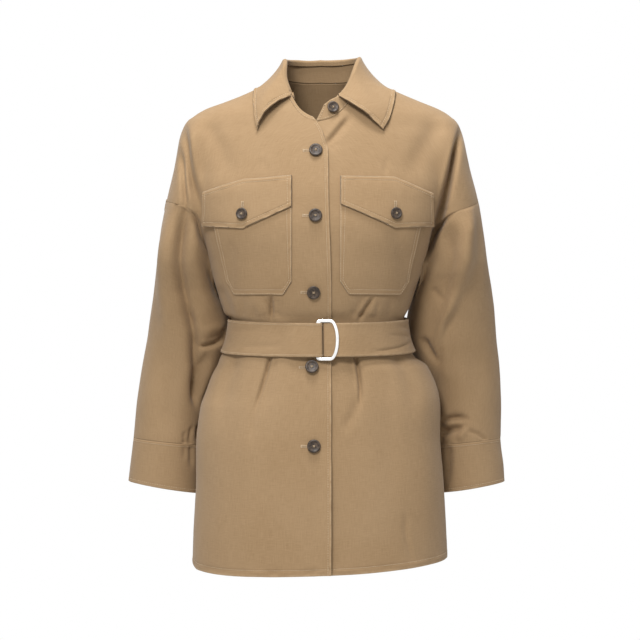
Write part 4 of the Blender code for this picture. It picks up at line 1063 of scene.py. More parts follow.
def line_inside(points, edge, inset, trim_start=0.0, trim_end=0.0, lift=0.0002, closed=False, centre=None):
    """Points and outward directions of a line at an even distance inside an edge."""
    normal = edge_first(outward(points, closed, centre), edge)
    turned = edge_first(points, edge)
    depth = lengths(turned)
    line, out = (np.array([[np.interp(inset, depth[:, j], values[:, j, k]) for k in range(3)]
                           for j in range(depth.shape[1])]) for values in (turned, normal))
    if closed:
        line, out = np.concatenate([line, line[:1]]), np.concatenate([out, out[:1]])
    travel = lengths(line[:, None], axis=0)[:, 0]
    number = max(2, int((travel[-1] - trim_start - trim_end) / STITCH_LINE_STEP))
    wanted = np.linspace(trim_start, travel[-1] - trim_end, number)
    line = np.stack([np.interp(wanted, travel, line[:, k]) for k in range(3)], -1)
    out = unit(np.stack([np.interp(wanted, travel, out[:, k]) for k in range(3)], -1))
    return line + out * lift, out


def sew(name, points, edge, inset, **options):
    stitch_lines.setdefault(name, []).append(line_inside(points, edge, inset, **options))


EDGE_STITCH, HEM_STITCH = 0.0052, 0.0095
for name, side in (("right_front", -1), ("left_front", 1)):
    grid = formed[side, -1]
    height = (pucker(grid, "column_0", EDGE_STITCH, 0.016, 0.00045, 0.00040, 11 + side)
              + pucker(grid, "row_0", HEM_STITCH, 0.018, 0.00090, 0.00045, 21 + side)
              + seam_roll(grid, "column_end"))
    panel = pull_back(grid + outward(grid) * height[..., None], ["column_end"])
    shell(name, panel, CLOTH, worn_and_lit=("column_0", "row_0"), sewn=("column_end", "row_end"))
    sew(name, panel, "column_0", EDGE_STITCH, trim_start=0.001, trim_end=0.006)
    sew(name, panel, "row_0", HEM_STITCH, trim_start=EDGE_STITCH)
    tell_area(name)

# %% The back
back_grid = np.concatenate([formed[-1, 1][:, ::-1], formed[1, 1][:, 1:]], axis=1)
height = (pucker(back_grid, "row_0", HEM_STITCH, 0.018, 0.00090, 0.00045, 31)
          + seam_roll(back_grid, "column_0") + seam_roll(back_grid, "column_end"))
panel = pull_back(back_grid + outward(back_grid) * height[..., None], ["column_0", "column_end"])
shell("back_panel", panel, CLOTH, worn_and_lit=("row_0",), sewn=("column_0", "column_end", "row_end"))
sew("back_panel", panel, "row_0", HEM_STITCH)
tell_area("back_panel")

# %% [markdown]
# ## Sleeves and cuffs
# The shoulder is dropped, so each sleeve starts low from a ring that is exactly the seam of front and
# back, and ends in a straight double cuff. A lofted tube keeps the ring's points and eases them round to
# even spacing, so that the seam closes all the way round. Beside the seam the sleeve follows the valley
# of the front and lets go of it over the next two centimetres.

# %% Sleeves
CUFF_COLUMNS, CUFF_ROWS = count(116), count(30)
CUFF_TOP_STITCH, CUFF_FOOT_STITCH, CUFF_CALM = 0.0040, 0.0050, 0.10
SEAM_FADE, SEAM_FADE_SWING, EVEN_SHARE, CALM_TOP, CALM_FOOT = 0.21, 0.09, 0.55, 0.025, 0.985


def sleeve_points(side, angle, level):
    centre_x, half_x, middle_y, half_y = arm_section(side, level)
    return np.stack([side * (centre_x + half_x * np.cos(angle)), middle_y - half_y * np.sin(angle), level], -1)


def sleeve_grid(side, ring):
    """Rows of a sleeve from the armhole ring down to the cuff seam."""
    centre_x, half_x, middle_y, half_y = arm_section(side, ring[:, 2])
    start = np.unwrap(np.arctan2(-(ring[:, 1] - middle_y) / half_y, (side * ring[:, 0] - centre_x) / half_x))
    even = np.arange(len(ring)) * 2 * np.pi / len(ring)
    start += 2 * np.pi * np.round((even - start).mean() / (2 * np.pi))
    shift = ring - sleeve_points(side, start, ring[:, 2])
    fade = SEAM_FADE + SEAM_FADE_SWING * np.cos(even)
    foot_level = CUFF_TOP + CUFF_TOP_SLOPE * arm_section(side, CUFF_TOP)[1] * np.cos(even)
    rows = []
    for share in spread(130, start=4, end=6):
        level = ring[:, 2] + (foot_level - ring[:, 2]) * share
        angle = start + (even - start) * ease(share, 0.0, EVEN_SHARE)
        rows.append(sleeve_points(side, angle, level) + shift * (1 - ease(share / fade, 0.0, 1.0))[:, None])
    return np.array(rows)


def arm_axis(side, points):
    centre_x, half_x, middle_y, half_y = arm_section(side, points[..., 2])
    return np.stack([side * centre_x, middle_y, points[..., 2]], -1)


def cuff_grid(side):
    even = np.arange(CUFF_COLUMNS) * 2 * np.pi / CUFF_COLUMNS
    share = np.linspace(0, 1, CUFF_ROWS + 1)
    middle = CUFF_TOP + (CUFF_FOOT - CUFF_TOP) * share
    slope = CUFF_TOP_SLOPE + (CUFF_FOOT_SLOPE - CUFF_TOP_SLOPE) * share
    level = middle[:, None] + (slope * arm_section(side, middle)[1])[:, None] * np.cos(even)
    return sleeve_points(side, even[None, :], level)


for side, name in HAND.items():
    front_seam = formed[side, -1][ARMHOLE_SPAN, -1] + sunk[side]
    back_seam = formed[side, 1][ARMHOLE_SPAN, -1]
    grid = sleeve_grid(side, np.concatenate([front_seam[::-1], back_seam[1:-1]]))
    share = np.linspace(0, 1, len(grid))[:, None]
    calm = ease(share, 0.0, CALM_TOP) * (1 - ease(share, CALM_FOOT, 1.0))
    out = unit((grid - arm_axis(side, grid)) * [1, 1, 0])
    height = (sleeve_creases(side, grid) + ripple(grid)) * calm
    near_seam = np.exp(-(lengths(grid)[:, :len(front_seam)] / VALLEY_WIDTH_SLEEVE[side]) ** 2)
    grid = grid + out * (height + seam_roll(grid, "row_0") + seam_roll(grid, "row_end"))[..., None]
    grid[:, :len(front_seam)] -= near_seam[..., None] * sunk[side][::-1]
    grid = pull_back(grid, ["row_0", "row_end"])
    shell(name + "_sleeve", grid, CLOTH, closed=True, centre=arm_axis(side, grid), sewn=("row_0", "row_end"))
    tell_area(name + "_sleeve")

# %% Cuffs
for side, name in HAND.items():
    grid = cuff_grid(side)
    below_seam = ease(np.linspace(0, 1, len(grid)), 0.0, CUFF_CALM)[:, None]
    height = ((ripple(grid, 0.8) + sleeve_creases(side, grid)) * below_seam
              + pucker(grid, "row_end", CUFF_FOOT_STITCH, 0.014, 0.00065, 0.00040, 41 + side)
              + pucker(grid, "row_0", CUFF_TOP_STITCH, 0.013, 0.00050, 0.00040, 43 + side)
              + seam_roll(grid, "row_0"))
    grid = grid + unit((grid - arm_axis(side, grid)) * [1, 1, 0]) * height[..., None]
    grid = pull_back(grid, ["row_0"])
    centre = arm_axis(side, grid)
    shell(name + "_cuff", grid, DOUBLE_CLOTH, closed=True, centre=centre, worn_and_lit=("row_end",), sewn=("row_0",))
    sew(name + "_cuff", grid, "row_0", CUFF_TOP_STITCH, closed=True, centre=centre)
    sew(name + "_cuff", grid, "row_end", CUFF_FOOT_STITCH, closed=True, centre=centre)
    tell_area(name + "_cuff")

# %% [markdown]
# ## Neck band and collar
# A shirt collar is two pieces: a low band that stands round the neck, and a leaf that folds over its top
# and lies on the shoulders with two points in front. The band rises from the neck seam of the panels. The
# leaf rolls over the top of the band, drops, and ends on an edge that is given by places on the
# shoulders.

# %% Neck band
STAND_COLUMNS = ("place", "lean_x", "lean_y", "lean_z", "height")
STAND = ((0.00, -0.45, 0.45, 0.55, 0.012), (0.08, -0.20, 0.40, 0.80, 0.020), (0.14, -0.10, 0.35, 0.92, 0.0245),
         (0.25, 0.36, 0.15, 1.00, 0.0265), (0.50, 0.00, -0.16, 1.00, 0.033), (0.75, -0.26, 0.15, 1.00, 0.031),
         (0.89, -0.02, 0.28, 1.00, 0.0275), (0.945, 0.12, 0.28, 1.00, 0.0315), (1.00, 0.44, 0.18, 0.90, 0.0345))
STAND_AT = table_curves(STAND, STAND_COLUMNS, "place")
STAND_FOOT_GAP, STAND_END_ROUND, STAND_BUTTON_PLACE, STAND_BUTTON_LIFT = 0.0003, 0.25, 0.950, 0.001
STAND_TIP, STAND_PUCKER = (-0.02, 0.030), 0.0040


def along_line(points, places):
    """Points at shares of the length of a line."""
    travel = lengths(points[:, None], axis=0)[:, 0]
    return np.stack([np.interp(places, travel / travel[-1], points[:, k]) for k in range(3)], -1)


def stand_grid(neck, places, rows):
    foot = along_line(neck, places)
    rise = unit(np.stack([STAND_AT[name](places) for name in ("lean_x", "lean_y", "lean_z")], -1))
    height = STAND_AT["height"](places)
    tip = ease(np.minimum(places, 1 - places), *STAND_TIP)
    share = np.linspace(0, 1, rows + 1)[:, None]
    climb = STAND_FOOT_GAP + height * share * (1 - STAND_END_ROUND * share * (1 - tip))
    return foot + rise * climb[..., None]


neck = np.concatenate([formed[-1, -1][-1], back_grid[-1][1:-1], formed[1, -1][-1][::-1]])
stand = stand_grid(neck, spread(170, start=10, end=10), count(16))
height = sum(pucker(stand, edge, STAND_PUCKER, 0.010, 0.0003, 0.0002, seed)
             for seed, edge in ((51, "column_0"), (52, "column_end")))
stand = stand + outward(stand) * (height + ripple(stand, 0.6))[..., None]
shell("neck_band", stand, CLOTH, worn_and_lit=("column_0", "column_end", "row_end"), sewn=("row_0",))
for edge, inset in (("column_0", 0.0035), ("column_end", 0.0035), ("row_0", 0.0030)):
    sew("neck_band", stand, edge, inset, trim_start=0.003, trim_end=0.003)
tell_area("neck_band")

# %% Collar leaf
LEAF_FROM, LEAF_TO, LEAF_OUT, LEAF_DROP, LEAF_BULGE = 0.086, 0.932, 0.010, 0.022, 0.010
LEAF_ENDS, LEAF_TRIM = 0.14, 0.024
LEAF_ARCH_RIGHT, LEAF_ARCH_LEFT = (-0.0095, -0.005, 0.0125), (0.0010, -0.005, 0.0045)
# x, level, face, lift
LEAF = ((-0.0940, -0.0523, -1, 0.006), (-0.0985, -0.0260, -1, 0.0055), (-0.1000, -0.0030, -1, 0.0055),
        (-0.0990, 0.0100, -1, 0.0045), (-0.0960, 0.0090, 1, 0.0050), (-0.0760, -0.0020, 1, 0.0065),
        (0.0000, -0.0080, 1, 0.007), (0.0800, -0.0030, 1, 0.0065), (0.1075, 0.0070, 1, 0.0050),
        (0.1130, 0.0090, -1, 0.0045), (0.1115, -0.0035, -1, 0.0055), (0.1040, -0.0330, -1, 0.0055),
        (0.0940, -0.0523, -1, 0.006))
ROLL_INSIDE, ROLL_OUTSIDE, ROLL_RISE, ROLL_TUCK, ROLL_TUCK_END = 0.0037, 0.0014, -0.0006, 0.0060, 0.0012


def smooth_line(points, places):
    points = np.asarray(points, float)
    travel = lengths(points[:, None], axis=0)[:, 0]
    return np.stack([curve_through(travel / travel[-1], points[:, k])(places) for k in range(3)], -1)


def leaf_grid(places, share):
    stood = stand_grid(neck, places, 4)
    away = unit(stood[-1] * [1, 1, 0])
    up = unit(stood[-1] - stood[0])
    fold = stood[-1] + away * (DOUBLE_CLOTH + ROLL_OUTSIDE) + np.array([0, 0, ROLL_RISE])
    edge_points = []
    for x, level, face, lift in LEAF:
        side = -1 if x < 0 else 1
        base = np.array([x, float(form_depth(side, face, np.array([x]), np.array([level]))[0]), level])
        edge_points.append(base + form_normal(side, base) * lift)
    even = (places - LEAF_FROM) / (LEAF_TO - LEAF_FROM)
    edge = smooth_line(edge_points, even)
    ends = ease(np.minimum(places - LEAF_FROM, LEAF_TO - places), 0.0, LEAF_ENDS)[:, None]
    draped = fold + away * LEAF_OUT - np.array([0, 0, LEAF_DROP])
    arch = np.where(places[:, None] < 0.5, LEAF_ARCH_RIGHT, LEAF_ARCH_LEFT)
    middle = (0.5 * (fold + edge) + away * LEAF_BULGE + arch) * (1 - ends) + draped * ends
    radius = 0.5 * (DOUBLE_CLOTH + ROLL_OUTSIDE + ROLL_INSIDE)
    rows = [fold - away * 2 * radius - up * tuck for tuck in np.linspace(ROLL_TUCK, ROLL_TUCK_END, count(5))]
    rows += [fold + away * radius * (np.cos(turn) - 1) + up * radius * np.sin(turn)
             for turn in np.linspace(math.pi, 0, count(12))[:-1]]
    rows += [fold * (1 - s) ** 2 + middle * 2 * s * (1 - s) + edge * s ** 2 for s in share]
    return np.array(rows)


leaf = leaf_grid(LEAF_FROM + (LEAF_TO - LEAF_FROM) * spread(230, start=16, end=16), spread(34, end=12))
below_leaf = leaf * 0.5 - [0, 0, 0.1]
COLLAR_STITCH = 0.0062
height = (pucker(leaf, "row_end", COLLAR_STITCH, 0.0080, 0.00120, 0.00065, 61)
          + pucker(leaf, "column_0", COLLAR_STITCH, 0.0080, 0.00100, 0.00065, 62)
          + pucker(leaf, "column_end", COLLAR_STITCH, 0.0080, 0.00100, 0.00065, 63) + ripple(leaf, 1.6))
leaf = leaf + outward(leaf, centre=below_leaf) * height[..., None]
shell("collar", leaf, DOUBLE_CLOTH, centre=below_leaf, worn_and_lit=("row_end", "column_0", "column_end"))
sew("collar", leaf, "row_end", COLLAR_STITCH, trim_start=COLLAR_STITCH, trim_end=COLLAR_STITCH,
    centre=below_leaf)
for edge in ("column_0", "column_end"):
    sew("collar", leaf, edge, COLLAR_STITCH, trim_start=LEAF_TRIM, trim_end=COLLAR_STITCH, centre=below_leaf)
tell_area("collar")

# %% [markdown]
# ## Patch pockets and flaps
# A patch pocket is a single layer sewn on along three sides with two rows of stitching, and the flap
# above it is double cloth, sewn along its top and free below. Both take the form and the creases of the
# front that they lie on, a little further out, so that nothing sinks in or floats.

# %% Places on a front
def front_point(side, x, z, lift):
    """A point on a front with its folds, moved out by a lift, and the direction out of it."""
    x, z = np.broadcast_arrays(np.asarray(x, float), np.asarray(z, float))
    base = np.stack([x, form_depth(side, -1, x, z), z], -1)
    normal = form_normal(side, base)
    height = cloth_height(side, -1, base) + lift
    if side < 0:
        height = height + edge_wave(base)
    return base + normal * height[..., None], normal


print("right front at y = %.4f m" % front_point(-1, np.array([-0.1]), np.array([-0.22]), 0.0)[0][0, 1])

# %% Pockets
POCKET_COLUMNS = ("name", "side", "inner_x", "outer_top", "outer_foot", "top", "foot", "corner")
POCKETS = (("right_pocket", -1, 0.0415, 0.166, 0.140, -0.150, -0.2965, 0.020),
           ("left_pocket", 1, 0.0295, 0.159, 0.131, -0.150, -0.2965, 0.020))
POCKET_LIFT = LAY_GAP + CLOTH
POCKET_STITCHES = (0.0016, 0.0078)
POCKET_LOOSE, FLAP_LOOSE = 0.0010, 0.0014


def pocket_grid(part):
    u = spread(44, start=9, end=9)[None, :]
    v = spread(66, end=10)[:, None]
    cut = part["corner"] * np.clip(1 - 8 * np.minimum(u, 1 - u), 0, None)
    outer_x = part["outer_top"] + (part["outer_foot"] - part["outer_top"]) * v
    x = part["inner_x"] + (outer_x - part["inner_x"]) * u
    z = part["top"] + (part["foot"] - part["top"] + cut) * v
    loose = POCKET_LOOSE * np.sin(np.pi * u) * np.sin(np.pi * np.clip(v, 0, 1)) ** 0.7
    return front_point(part["side"], part["side"] * x, z, POCKET_LIFT + loose)


for row in POCKETS:
    part = dict(zip(POCKET_COLUMNS, row))
    grid, out = pocket_grid(part)
    height = sum(pucker(grid, edge, POCKET_STITCHES[-1], 0.012, 0.00048, 0.00035, 71 + part["side"] + seed)
                 for seed, edge in enumerate(("column_0", "column_end", "row_end")))
    grid = grid + out * height[..., None]
    shell(part["name"], grid, CLOTH, worn_and_lit=("column_0", "column_end", "row_end"))
    for inset in POCKET_STITCHES:
        for edge in ("column_0", "column_end"):
            sew(part["name"], grid, edge, inset, trim_start=0.010, trim_end=inset)
        sew(part["name"], grid, "row_end", inset, trim_start=inset, trim_end=inset)
    tell_area(part["name"])

# %% Flaps
FLAP_COLUMNS = ("name", "side", "inner_x", "outer_x", "top_in", "top_mid", "top_out",
                "foot_in", "point", "foot_out", "point_x")
FLAPS = (("right_flap", -1, 0.0415, 0.172, -0.1215, -0.1260, -0.143, -0.1680, -0.199, -0.194, 0.113),
         ("left_flap", 1, 0.0300, 0.166, -0.1215, -0.1225, -0.145, -0.1640, -0.198, -0.194, 0.110))
FLAP_LIFT = POCKET_LIFT + LAY_GAP + DOUBLE_CLOTH
FLAP_STITCH = 0.0068


def flap_grid(part):
    bend = (part["point_x"] - part["inner_x"]) / (part["outer_x"] - part["inner_x"])
    u = np.concatenate([bend * spread(40, start=10), bend + (1 - bend) * spread(32, end=10)[1:]])[None, :]
    v = spread(26, start=8, end=12)[:, None]
    top = np.interp(u, (0, bend, 1), (part["top_in"], part["top_mid"], part["top_out"]))
    foot = np.interp(u, (0, bend, 1), (part["foot_in"], part["point"], part["foot_out"]))
    x = part["inner_x"] + (part["outer_x"] - part["inner_x"]) * u
    loose = FLAP_LOOSE * ease(v, 0.35, 1.0) * (0.4 + 0.6 * np.sin(np.pi * u))
    return front_point(part["side"], part["side"] * x, top + (foot - top) * v, FLAP_LIFT + loose)


flap_parts = {}
for row in FLAPS:
    part = dict(zip(FLAP_COLUMNS, row))
    grid, out = flap_grid(part)
    height = sum(pucker(grid, edge, FLAP_STITCH, 0.010, 0.00070, 0.00050, 81 + part["side"] + seed)
                 for seed, edge in enumerate(("column_0", "column_end", "row_end", "row_0")))
    grid = grid + out * (height + seam_roll(grid, "row_0", 0.0012, 0.0026))[..., None]
    shell(part["name"], grid, DOUBLE_CLOTH, worn_and_lit=("column_0", "column_end", "row_end", "row_0"))
    sew(part["name"], grid, "row_end", FLAP_STITCH, trim_start=FLAP_STITCH, trim_end=FLAP_STITCH)
    for edge in ("column_0", "column_end"):
        sew(part["name"], grid, edge, FLAP_STITCH, trim_start=0.002, trim_end=FLAP_STITCH)
    for inset in (0.0016, FLAP_STITCH):
        sew(part["name"], grid, "row_0", inset, trim_start=0.002, trim_end=0.002)
    flap_parts[part["name"]] = part
    tell_area(part["name"])

# %% [markdown]
# ## Belt and D rings
# The belt is one long double strip. It starts in a loop sewn round the straight bars of both rings, runs
# round the waist, comes back through the rings and lies over itself. Its way is a table of angles round
# the waist and heights off the cloth. The rings are flat wire, swept along a D.

# %% Belt
BELT_WIDTH, BELT_TOP, BELT_LIFT, BELT_TURNS = 0.0500, -0.3320, 0.0046, 34
BELT_STITCH, BELT_CREASE_RADIUS = 0.0030, 0.12
LOOP_STATIONS, COVERED_STATIONS, TAIL_STATIONS = 5, 11, 14
# angle, lift
BELT_START = (
    (-16.0, 0.0032), (-9.0, 0.0032), (-2.0, 0.0032), (2.0, 0.0033), (3.7, 0.0046), (4.3, 0.0078),
    (3.7, 0.0109), (2.0, 0.0122), (-2.0, 0.0123), (-9.0, 0.0121), (-16.0, 0.0108), (-23.0, 0.0078),
    (-30.0, 0.0050),
)
# angle_0, level_0, angle_1, level_1, bow, half_width, height, lean
BELT_CREASES = (
    (44, -0.3740, 82, -0.3660, 0.001, 0.0032, -0.0022, 0.5),
    (56, -0.3510, 82, -0.3570, 0.0, 0.0040, -0.0016, 0.3),
    (64, -0.3400, 84, -0.3460, 0.0, 0.0036, -0.0013, 0.0),
    (-46, -0.3440, -78, -0.3500, 0.0, 0.0046, -0.0013, 0.3),
    (-30, -0.3660, -62, -0.3690, 0.0, 0.0040, -0.0011, 0.0),
    (150, -0.3480, 185, -0.3560, 0.0, 0.0050, -0.0014, 0.2),
)
BELT_END = (
    (40.0, 0.0046), (32.0, 0.0048), (25.0, 0.0051), (18.0, 0.0052), (11.0, 0.0052), (7.4, 0.0053),
    (6.4, 0.0058), (6.1, 0.0065), (6.4, 0.0072), (7.4, 0.0079), (11.0, 0.0089), (16.0, 0.0102),
    (21.0, 0.0106), (28.0, 0.0090), (36.0, 0.0066), (44.0, 0.0053), (56.0, 0.0051), (68.0, 0.0051),
    (80.0, 0.0051), (92.0, 0.0051), (104.0, 0.0051), (116.0, 0.0051),
)


def belt_grid(rows):
    turn = np.linspace(BELT_START[-1][0], BELT_END[0][0] - 360, BELT_TURNS + 1)[1:-1]
    round_waist = [(angle, BELT_LIFT) for angle in turn]
    tail = [(angle - 360, lift) for angle, lift in BELT_END]
    way = np.array(list(BELT_START) + round_waist + tail)
    steps = np.full(len(way) - 1, count(6))
    steps[:len(BELT_START)] = count(8)
    places = np.concatenate([i + np.arange(n) / n for i, n in enumerate(steps)] + [[len(way) - 1]])
    angle, lift = (curve_through(np.arange(len(way)), way[:, k])(places) for k in (0, 1))
    level = (BELT_TOP - BELT_WIDTH * np.linspace(0, 1, rows + 1))[:, None]
    base = torso_points(angle[None, :], level + 0 * angle[None, :])
    covered = len(BELT_START) + BELT_TURNS - COVERED_STATIONS
    shown = (places > LOOP_STATIONS) & (places < covered) | (places > len(way) - TAIL_STATIONS)
    raised = lift[None, :] + 0 * level
    for angle_0, level_0, angle_1, level_1, *shape in BELT_CREASES:
        off = turn_from(angle_0, angle)[None, :] * np.hypot(base[..., 0], base[..., 1])
        run = math.radians(angle_1 - angle_0) * BELT_CREASE_RADIUS
        raised = raised + shown * crease_shape(off, level - level_0, run, level_1 - level_0, *shape)
    return base + unit(base * [1, 1, 0]) * raised[..., None]


belt = belt_grid(count(26))
height = sum(pucker(belt, edge, BELT_STITCH, 0.020, 0.00022, 0.00018, seed)
             for seed, edge in ((91, "row_0"), (92, "row_end")))
belt = belt + outward(belt) * height[..., None]
shell("waist_belt", belt, DOUBLE_CLOTH, worn_and_lit=("row_0", "row_end", "column_end"))
for edge in ("row_0", "row_end"):
    sew("waist_belt", belt, edge, BELT_STITCH, trim_start=0.002, trim_end=0.003)
sew("waist_belt", belt, "column_end", BELT_STITCH, trim_start=0.003, trim_end=0.003)
tell_area("waist_belt")

# %% D rings
RING_HEIGHT, RING_REACH, RING_ARM, RING_CORNER = 0.0570, 0.0270, 0.0165, 0.0030
RING_WIRE, RING_FLAT, RING_LEAN = 0.0009, 0.0014, math.radians(-6.3)
# name, bar_x, bar_lift, bow_lift
RINGS = (("inner_ring", -0.0034, 0.0065, 0.0065), ("outer_ring", -0.0013, 0.0086, 0.0124))


def ring_path(bar_lift, bow_lift):
    """Outline of a D in its own plane: across, up and out from the cloth."""
    half = RING_HEIGHT / 2
    foot = [(RING_CORNER * (1 - math.cos(t)), -half + RING_CORNER * (1 - math.sin(t)))
            for t in np.linspace(0, math.pi / 2, 7)]
    foot += [(RING_CORNER + (RING_ARM - RING_CORNER) * s, -half) for s in (0.35, 0.7)]
    bow = [(RING_ARM + (RING_REACH - RING_ARM) * math.cos(t), half * math.sin(t))
           for t in np.linspace(-math.pi / 2, math.pi / 2, 41)]
    path = foot + bow + [(across, -up) for across, up in foot[::-1]]
    return [(across, up, bar_lift + (bow_lift - bar_lift) * across / RING_REACH) for across, up in path]


def make_ring_metal():
    material, tree, shader = new_material("plated_metal")
    place = object_place(tree)
    polish = link_noise(tree, scaled(tree, place, (900.0, 900.0, 120.0)), 1.0, 3.0)
    tone = link_mix(tree, link_noise(tree, place, 300.0), (0.80, 0.79, 0.77), (0.95, 0.95, 0.94))
    tree.links.new(tone, shader.inputs["Base Color"])
    tree.links.new(link_range(tree, polish, 0.3, 0.7, 0.16, 0.30), shader.inputs["Roughness"])
    shader.inputs["Metallic"].default_value = 1.0
    return material


plated_metal = make_ring_metal()
for name, bar_x, bar_lift, bow_lift in RINGS:
    path = ring_path(bar_lift, bow_lift)
    wire = bpy.data.curves.new(name, "CURVE")
    wire.dimensions = "3D"
    line = wire.splines.new("POLY")
    line.points.add(len(path) - 1)
    for point, place in zip(line.points, path):
        point.co = (*place, 1.0)
        point.tilt = math.pi / 2
    line.use_cyclic_u = True
    wire.twist_mode = "Z_UP"
    wire.bevel_depth, wire.bevel_resolution, wire.extrude = RING_WIRE, 5, RING_FLAT
    swept = bpy.data.objects.new(name + "_wire", wire)
    show(swept)
    middle = torso_points(np.array([0.0]), np.array([BELT_TOP - BELT_WIDTH / 2]))[0]
    swept.location = (bar_x, middle[1], middle[2] + path[0][2] * math.sin(RING_LEAN))
    swept.rotation_euler = (math.pi / 2 + RING_LEAN, 0.0, 0.0)
    mesh = baked(swept)
    form = bmesh.new()
    form.from_mesh(mesh)
    bmesh.ops.remove_doubles(form, verts=form.verts, dist=1e-6)
    bmesh.ops.recalc_face_normals(form, faces=form.faces)
    form.to_mesh(mesh)
    form.free()
    mesh.polygons.foreach_set("use_smooth", np.ones(len(mesh.polygons), bool))
    add_piece(name, mesh, plated_metal)
    print(name, len(mesh.polygons), "faces")

# %% [markdown]
# ## Buttons
# The buttons are turned from a mottled horn-like resin with a raised rim, a dished middle and four holes,
# and sewn on with crossed thread. One button of each size is turned and drilled, and each copy is placed
# on its cloth by the direction out of it. The mottling reads object space, so no two buttons look alike.

# %% Turn and drill a button
BUTTON_RADIUS, SMALL_BUTTON_RADIUS, BUTTON_HEIGHT, BUTTON_GAP = 0.0100, 0.0088, 0.0028, 0.0012
# radius, height
BUTTON_PROFILE = (
    (0.00, 0.96), (0.20, 0.97), (0.42, 0.99), (0.56, 1.03), (0.64, 1.12), (0.70, 1.23), (0.76, 1.29),
    (0.83, 1.30), (0.90, 1.26), (0.95, 1.16), (0.985, 1.00), (1.00, 0.80), (0.985, 0.55), (0.95, 0.28),
    (0.90, 0.08), (0.86, 0.00), (0.45, 0.00), (0.00, 0.00),
)
HOLE_PLACE, HOLE_RADIUS = 0.165, 0.075
BUTTON_SIDES, DRILL_SIDES, DRILL_DEPTH, SHARP_ANGLE = 48, 14, 0.02, math.radians(50)
HORN_DARK, HORN_BROWN, HORN_PALE = (0.018, 0.011, 0.007), (0.070, 0.046, 0.030), (0.22, 0.17, 0.12)


def make_horn():
    material, tree, shader = new_material("mottled_horn")
    place = object_place(tree)
    cloud = link_noise(tree, place, 260.0, 4.0, 0.65)
    fleck = link_noise(tree, scaled(tree, place, (500.0, 500.0, 900.0)), 1.0, 3.0, 0.6)
    colour = link_mix(tree, link_range(tree, cloud, 0.42, 0.64, 0.0, 1.0), HORN_DARK, HORN_BROWN)
    colour = link_mix(tree, link_range(tree, fleck, 0.60, 0.78, 0.0, 0.7), colour, HORN_PALE)
    tree.links.new(colour, shader.inputs["Base Color"])
    tree.links.new(link_range(tree, fleck, 0.3, 0.7, 0.36, 0.55), shader.inputs["Roughness"])
    shader.inputs["Specular IOR Level"].default_value = 0.35
    link_bump(tree, shader, cloud, 0.15, 0.0002)
    return material


mottled_horn = make_horn()


def turned_mesh(name, profile, sides):
    """A closed lathed mesh from a half section that starts and ends on the axis."""
    turn = np.arange(sides) * 2 * math.pi / sides
    rings = np.array([[(r * math.cos(t), r * math.sin(t), h) for t in turn] for r, h in profile[1:-1]])
    vertices = [(0, 0, profile[0][1])] + rings.reshape(-1, 3).tolist() + [(0, 0, profile[-1][1])]
    last = len(vertices) - 1
    faces = []
    for c in range(sides):
        d = (c + 1) % sides
        faces.append((0, 1 + c, 1 + d))
        for r in range(len(rings) - 1):
            a, b = 1 + r * sides, 1 + (r + 1) * sides
            faces.append((a + c, b + c, b + d, a + d))
        faces.append((last, last - sides + d, last - sides + c))
    mesh = bpy.data.meshes.new(name)
    mesh.from_pydata(vertices, [], faces)
    return mesh


def drilled_button(radius):
    section = [(radius * r, BUTTON_HEIGHT * h) for r, h in BUTTON_PROFILE]
    blank = bpy.data.objects.new("button_blank", turned_mesh("button_blank", section, BUTTON_SIDES))
    show(blank)
    drills = bmesh.new()
    place, wide = HOLE_PLACE * radius, HOLE_RADIUS * radius
    for x, y in ((1, 1), (1, -1), (-1, -1), (-1, 1)):
        made = bmesh.ops.create_cone(drills, cap_ends=True, segments=DRILL_SIDES, radius1=wide, radius2=wide,
                                     depth=DRILL_DEPTH)
        bmesh.ops.translate(drills, verts=made["verts"], vec=(x * place, y * place, 0.0))
    drill_mesh = bpy.data.meshes.new("drills")
    drills.to_mesh(drill_mesh)
    drills.free()
    drill = bpy.data.objects.new("drills", drill_mesh)
    show(drill)
    cut = blank.modifiers.new("holes", "BOOLEAN")
    cut.operation, cut.solver, cut.object = "DIFFERENCE", "EXACT", drill
    mesh = baked(blank)
    bpy.data.objects.remove(drill)
    mesh.polygons.foreach_set("use_smooth", np.ones(len(mesh.polygons), bool))
    mesh.set_sharp_from_angle(angle=SHARP_ANGLE)
    return mesh


button_meshes = {radius: drilled_button(radius) for radius in (BUTTON_RADIUS, SMALL_BUTTON_RADIUS)}
print("faces of a button:", len(button_meshes[BUTTON_RADIUS].polygons))

# %% Place the buttons
# name, x, level, lift
FRONT_BUTTONS = (
    ("front_button_1", -0.0062, -0.0835, 0.0), ("front_button_2", -0.0069, -0.1805, 0.0),
    ("front_button_3", -0.0094, -0.2930, 0.0), ("front_button_4", -0.0118, -0.4050, 0.0018),
    ("front_button_5", -0.0089, -0.5210, 0.0),
)
FLAP_BUTTON_RISE, FLAP_BUTTON_LIFT, STAND_PATCH = 0.021, 0.0010, 0.005
placed = []


def place_button(name, spot, normal, radius):
    normal = Vector(normal)
    matrix = Vector((0, 0, 1)).rotation_difference(normal).to_matrix().to_4x4()
    matrix.translation = Vector(spot) + normal * BUTTON_GAP
    mesh = button_meshes[radius].copy()
    mesh.transform(matrix)
    mesh.name = name
    add_piece(name, mesh, mottled_horn)
    placed.append((matrix, radius))


